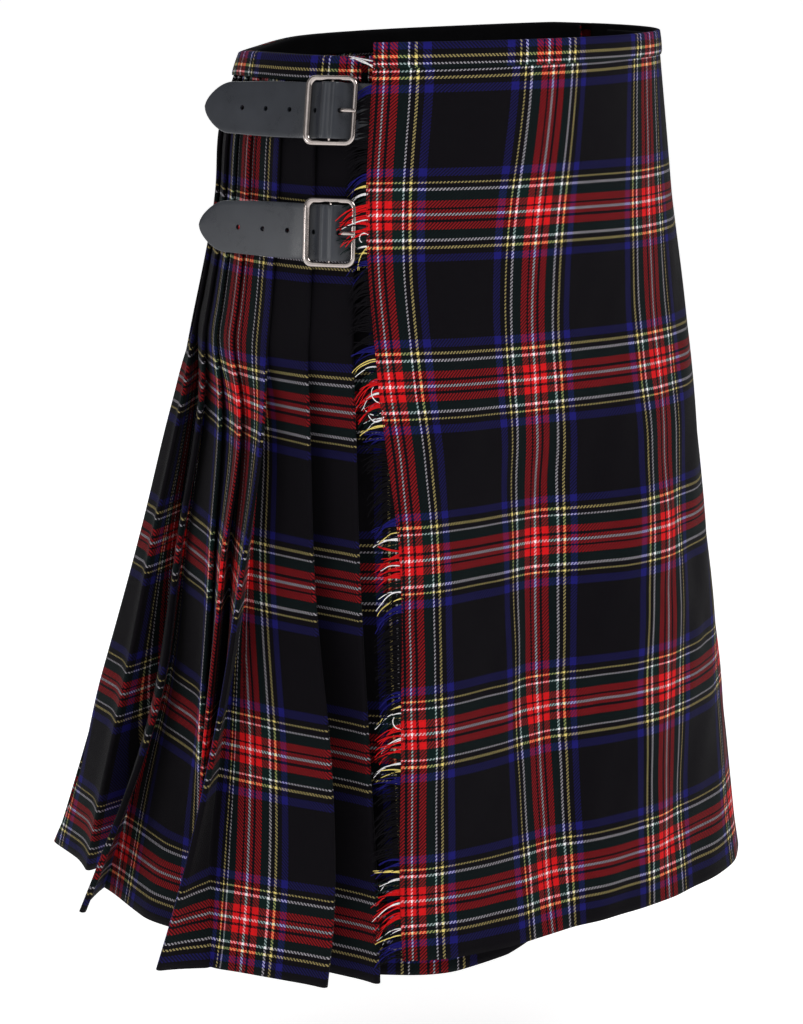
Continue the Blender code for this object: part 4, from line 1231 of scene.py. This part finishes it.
# Up over the buckle's bar, down on to the tab and flat to its cut tip, with its holes in a line.
def makeStrap(name, path):
    flat = lyingLift(strapLook["thick"])
    overTab = flat + strapLook["tabThick"] + cloth["gap"]
    top = buckleLook["lift"] + buckleLook["bar"] + cloth["gap"] + strapLook["thick"] / 2
    wide = strapLook["width"]
    stations = sewnStations(path) + [
        (-0.0180, flat + 0.0004, wide), (-0.0140, flat + 0.0008, wide), (-0.0080, (flat + top) / 2, wide),
        (-0.0034, top + 0.0007, wide), (0.0, top - 0.0001, wide), (0.0034, top + 0.0007, wide),
        (0.0082, (overTab + top) / 2, wide),
        (0.0140, overTab, wide), (0.0210, overTab, wide), (0.0400, overTab, wide),
    ]
    stations += [(strapLook["end"] - back, overTab, wide * share) for back, share in strapLook["tip"]]
    piece = leatherStrip("strap" + name.title() + "Leather", path, stations, strapLook["thick"],
                         strapLook["round"], "strap_" + name)
    holes = strapLook["firstHole"] + strapLook["holeStep"] * np.arange(strapLook["holes"])
    lifts = [overTab] * len(holes) + [buckleLook["lift"]]
    points, outs, _, _ = path.at([*holes, -buckleLook["slot"]], lifts)
    punch(piece, zip(points, outs), strapLook["hole"])


# Bar carried along a path of centres; its section is |x/wide|^square + |y/tall|^square = 1.
def bar(name, centres, wide, tall, across, replaced, closed=False, sides=16, square=2.0):
    centres = np.asarray(centres, float)
    if closed:
        ahead = unit(np.roll(centres, -1, axis=0) - np.roll(centres, 1, axis=0))
    else:
        ahead = unit(np.gradient(centres, axis=0))
    side = unit(np.cross(ahead, across))
    over = np.cross(side, ahead)
    turn = 2 * math.pi * (np.arange(sides) + 0.5) / sides
    c, s = np.cos(turn), np.sin(turn)
    reach = (np.abs(c) ** square + np.abs(s) ** square) ** (-1 / square)
    wide, tall = (np.broadcast_to(half, len(centres))[:, None, None] for half in (wide, tall))
    points = centres[:, None] + side[:, None] * (c * reach)[None, :, None] * wide \
        + over[:, None] * (s * reach)[None, :, None] * tall
    rows = len(points)
    if closed:
        faces = (gridFaces(rows + 1, sides, around=True)[:, ::-1] % (rows * sides)).tolist()
    else:
        faces = [face[::-1] for face in tubeFaces(rows, sides)]
    return newPiece(name, points, faces, steel, replaced)


# Points round a rectangle with rounded corners: nine on each corner and three on each side.
def roundedOutline(halfWidth, halfHeight, corner):
    middles = np.array(((1, 1), (-1, 1), (-1, -1), (1, -1))) * (halfWidth - corner, halfHeight - corner)
    turns = np.radians(np.linspace(0, 90, 9) + 90 * np.arange(4)[:, None])
    arcs = middles[:, None] + corner * np.stack([np.cos(turns), np.sin(turns)], axis=-1)
    start, stop = arcs[:, -1:], np.roll(arcs[:, :1], -1, axis=0)
    sides = start + (stop - start) * np.array((0.25, 0.5, 0.75))[:, None]
    return np.concatenate([arcs, sides], axis=1).reshape(-1, 2)


# A frame whose far side is wider, the bar across its middle and the prong that rests on the far side.
def makeBuckle(name, path):
    centre, out, forward, up = (v[0] for v in path.at(0.0, buckleLook["lift"]))
    wire, corner = buckleLook["wire"], buckleLook["corner"]
    halfWidth, halfHeight = buckleLook["width"] / 2 - wire, buckleLook["height"] / 2 - wire
    outline = roundedOutline(halfWidth, halfHeight, corner)
    far = ease(outline[:, 0], halfWidth - corner, halfWidth - 0.3 * corner)
    width = wire + (buckleLook["wideWire"] - wire) * far
    spots = centre + forward * outline[:, :1] + up * outline[:, 1:]
    title = name.title()
    bar("buckle" + title + "Frame", spots, width, wire * 0.92, out, "buckle_" + name, closed=True,
        square=buckleLook["square"])
    ends = [centre - up * halfHeight * s for s in np.linspace(-1, 1, 9)]
    bar("buckle" + title + "Bar", ends, buckleLook["bar"], buckleLook["bar"], out, None)
    rest = wire + buckleLook["prong"] + 0.0002
    knots = np.array((
        # along, lift above the frame's plane, half width
        (-halfWidth - 0.0024, rest - 0.0004, 0.0009), (-halfWidth, rest, 0.0014),
        (-0.0130, rest + 0.0002, 0.0015), (-0.0095, rest - 0.0003, 0.0015),
        (-buckleLook["slot"] - 0.0006, 0.0010, 0.0014), (-buckleLook["slot"] + 0.0009, -0.0012, 0.0012),
    ))
    distance = np.linspace(knots[0, 0], knots[-1, 0], 30)
    lift, thick = smooth(distance, knots[:, 0], knots[:, 1:]).T
    spots = centre + forward * distance[:, None] + out * lift[:, None]
    bar("prong" + title + "Pin", spots, thick, thick * 0.9, up, "prong_" + name, sides=12)


# From under the buckle's bar down on to the pleats, under the strap's free end.
def makeTab(name, path):
    low = lyingLift(strapLook["tabThick"])
    under = buckleLook["lift"] - buckleLook["bar"] - cloth["gap"] - strapLook["tabThick"] / 2
    wide = strapLook["tabWidth"]
    stations = ((-0.0006, under, wide), (0.0020, under - 0.0004, wide), (0.0060, low + 0.0010, wide),
                (0.0120, low, wide), (0.0300, low, wide))
    leatherStrip("tab" + name.title() + "Leather", path, stations, strapLook["tabThick"],
                 strapLook["tabRound"], "tab_" + name)


pleatCount = len(backPleats) + len(hipPleats)
overApronCloth = makeOverApron()
print("over apron made")
pleatsLeftCloth = makePleats("pleatsLeftCloth", 0, pleatLook["split"], "pleats_left")
pleatsRightCloth = makePleats("pleatsRightCloth", pleatLook["split"], pleatCount, "pleats_right")
print("pleats made")
underApronCloth = makeUnderApron()
bandCloths = makeBands()
print("under apron and bands made")
fringeEnds = makeFringe()
print("fringe made")
# each strap with its tab and buckle, on a route round the hip at its height
for name, drop, angle, way in straps:
    path = HipPath(drop, angle, way)
    makeStrap(name, path)
    makeTab(name, path)
    makeBuckle(name, path)
print("straps and buckles made")


studio = {
    "focal": 2737.0 / 1024 * 36,
    "distance": 1.924,
    "azimuth": -52.0,
    "height": 0.0777,
    "yaw": -0.937,
    "pitch": 11.18,
    "floor": -0.74,
    "floorSize": 200.0,
    "sky": 0.24,
    "aim": -0.25,            # height that the lights point at
    "lights": (
        # name, azimuth, elevation, distance, size, power
        ("key", -20, 45, 3.2, 1.5, 46), ("fill", -95, 25, 3.2, 2.2, 10),
        ("rim", 150, 40, 3.2, 1.8, 12), ("strip", -112, 3, 2.4, 0.4, 3),
    ),
}


# A camera turned by yaw and pitch from looking straight at the garment's axis.
def makeCamera():
    azimuth, yaw, pitch = (math.radians(studio[k]) for k in ("azimuth", "yaw", "pitch"))
    ahead = Vector((-math.sin(azimuth), math.cos(azimuth), 0))
    right = Vector((math.cos(azimuth), math.sin(azimuth), 0))
    up = Vector((0, 0, 1))
    level = ahead * math.cos(yaw) + right * math.sin(yaw)
    side = right * math.cos(yaw) - ahead * math.sin(yaw)
    look = level * math.cos(pitch) - up * math.sin(pitch)
    top = up * math.cos(pitch) + level * math.sin(pitch)
    data = bpy.data.cameras.new("camera")
    data.lens = studio["focal"]
    data.sensor_width = 36
    data.clip_start = 0.05
    camera = addObject("camera", data)
    spot = Vector((math.sin(azimuth), -math.cos(azimuth), 0)) * studio["distance"]
    turned = Matrix((side, top, -look)).transposed().to_4x4()
    camera.matrix_world = Matrix.Translation(spot + up * studio["height"]) @ turned
    bpy.context.scene.camera = camera


# a round lamp at an azimuth and elevation from the point that the lights aim at
def softLight(name, azimuth, elevation, distance, size, power):
    data = bpy.data.lights.new(name, "AREA")
    data.shape = "DISK"
    data.size = size
    data.energy = power
    light = addObject(name, data)
    a, e = math.radians(azimuth), math.radians(elevation)
    spot = Vector((math.sin(a) * math.cos(e), -math.cos(a) * math.cos(e), math.sin(e))) * distance
    light.location = spot + Vector((0, 0, studio["aim"]))
    light.rotation_euler = (-spot).to_track_quat("-Z", "Y").to_euler()


# White paper underfoot, an even sky and the lamps.
def makeStudio():
    world = bpy.data.worlds.new("softSky")
    bpy.context.scene.world = world
    world.use_nodes = True
    sky = world.node_tree.nodes["Background"].inputs
    sky["Color"].default_value = (1, 1, 1, 1)
    sky["Strength"].default_value = studio["sky"]
    corners = [(x * studio["floorSize"], y * studio["floorSize"], studio["floor"])
               for x, y in ((-1, -1), (1, -1), (1, 1), (-1, 1))]
    mesh = bpy.data.meshes.new("floor")
    mesh.from_pydata(corners, [], [(0, 1, 2, 3)])
    floor = addObject("floor", mesh)
    paper = Finish("studioPaper", Roughness=0.9, Emission_Color=(1, 1, 1, 1), Emission_Strength=0.8)
    cloud = paper.noise(paper.node("ShaderNodeTexCoord", output=3), 3.0, 2.0)
    paper.feed("Base Color", paper.mix(cloud, (0.84, 0.84, 0.84), (0.87, 0.87, 0.87)))
    mesh.materials.append(paper.material)
    for light in studio["lights"]:
        softLight(*light)


makeCamera()
makeStudio()
print("studio made")
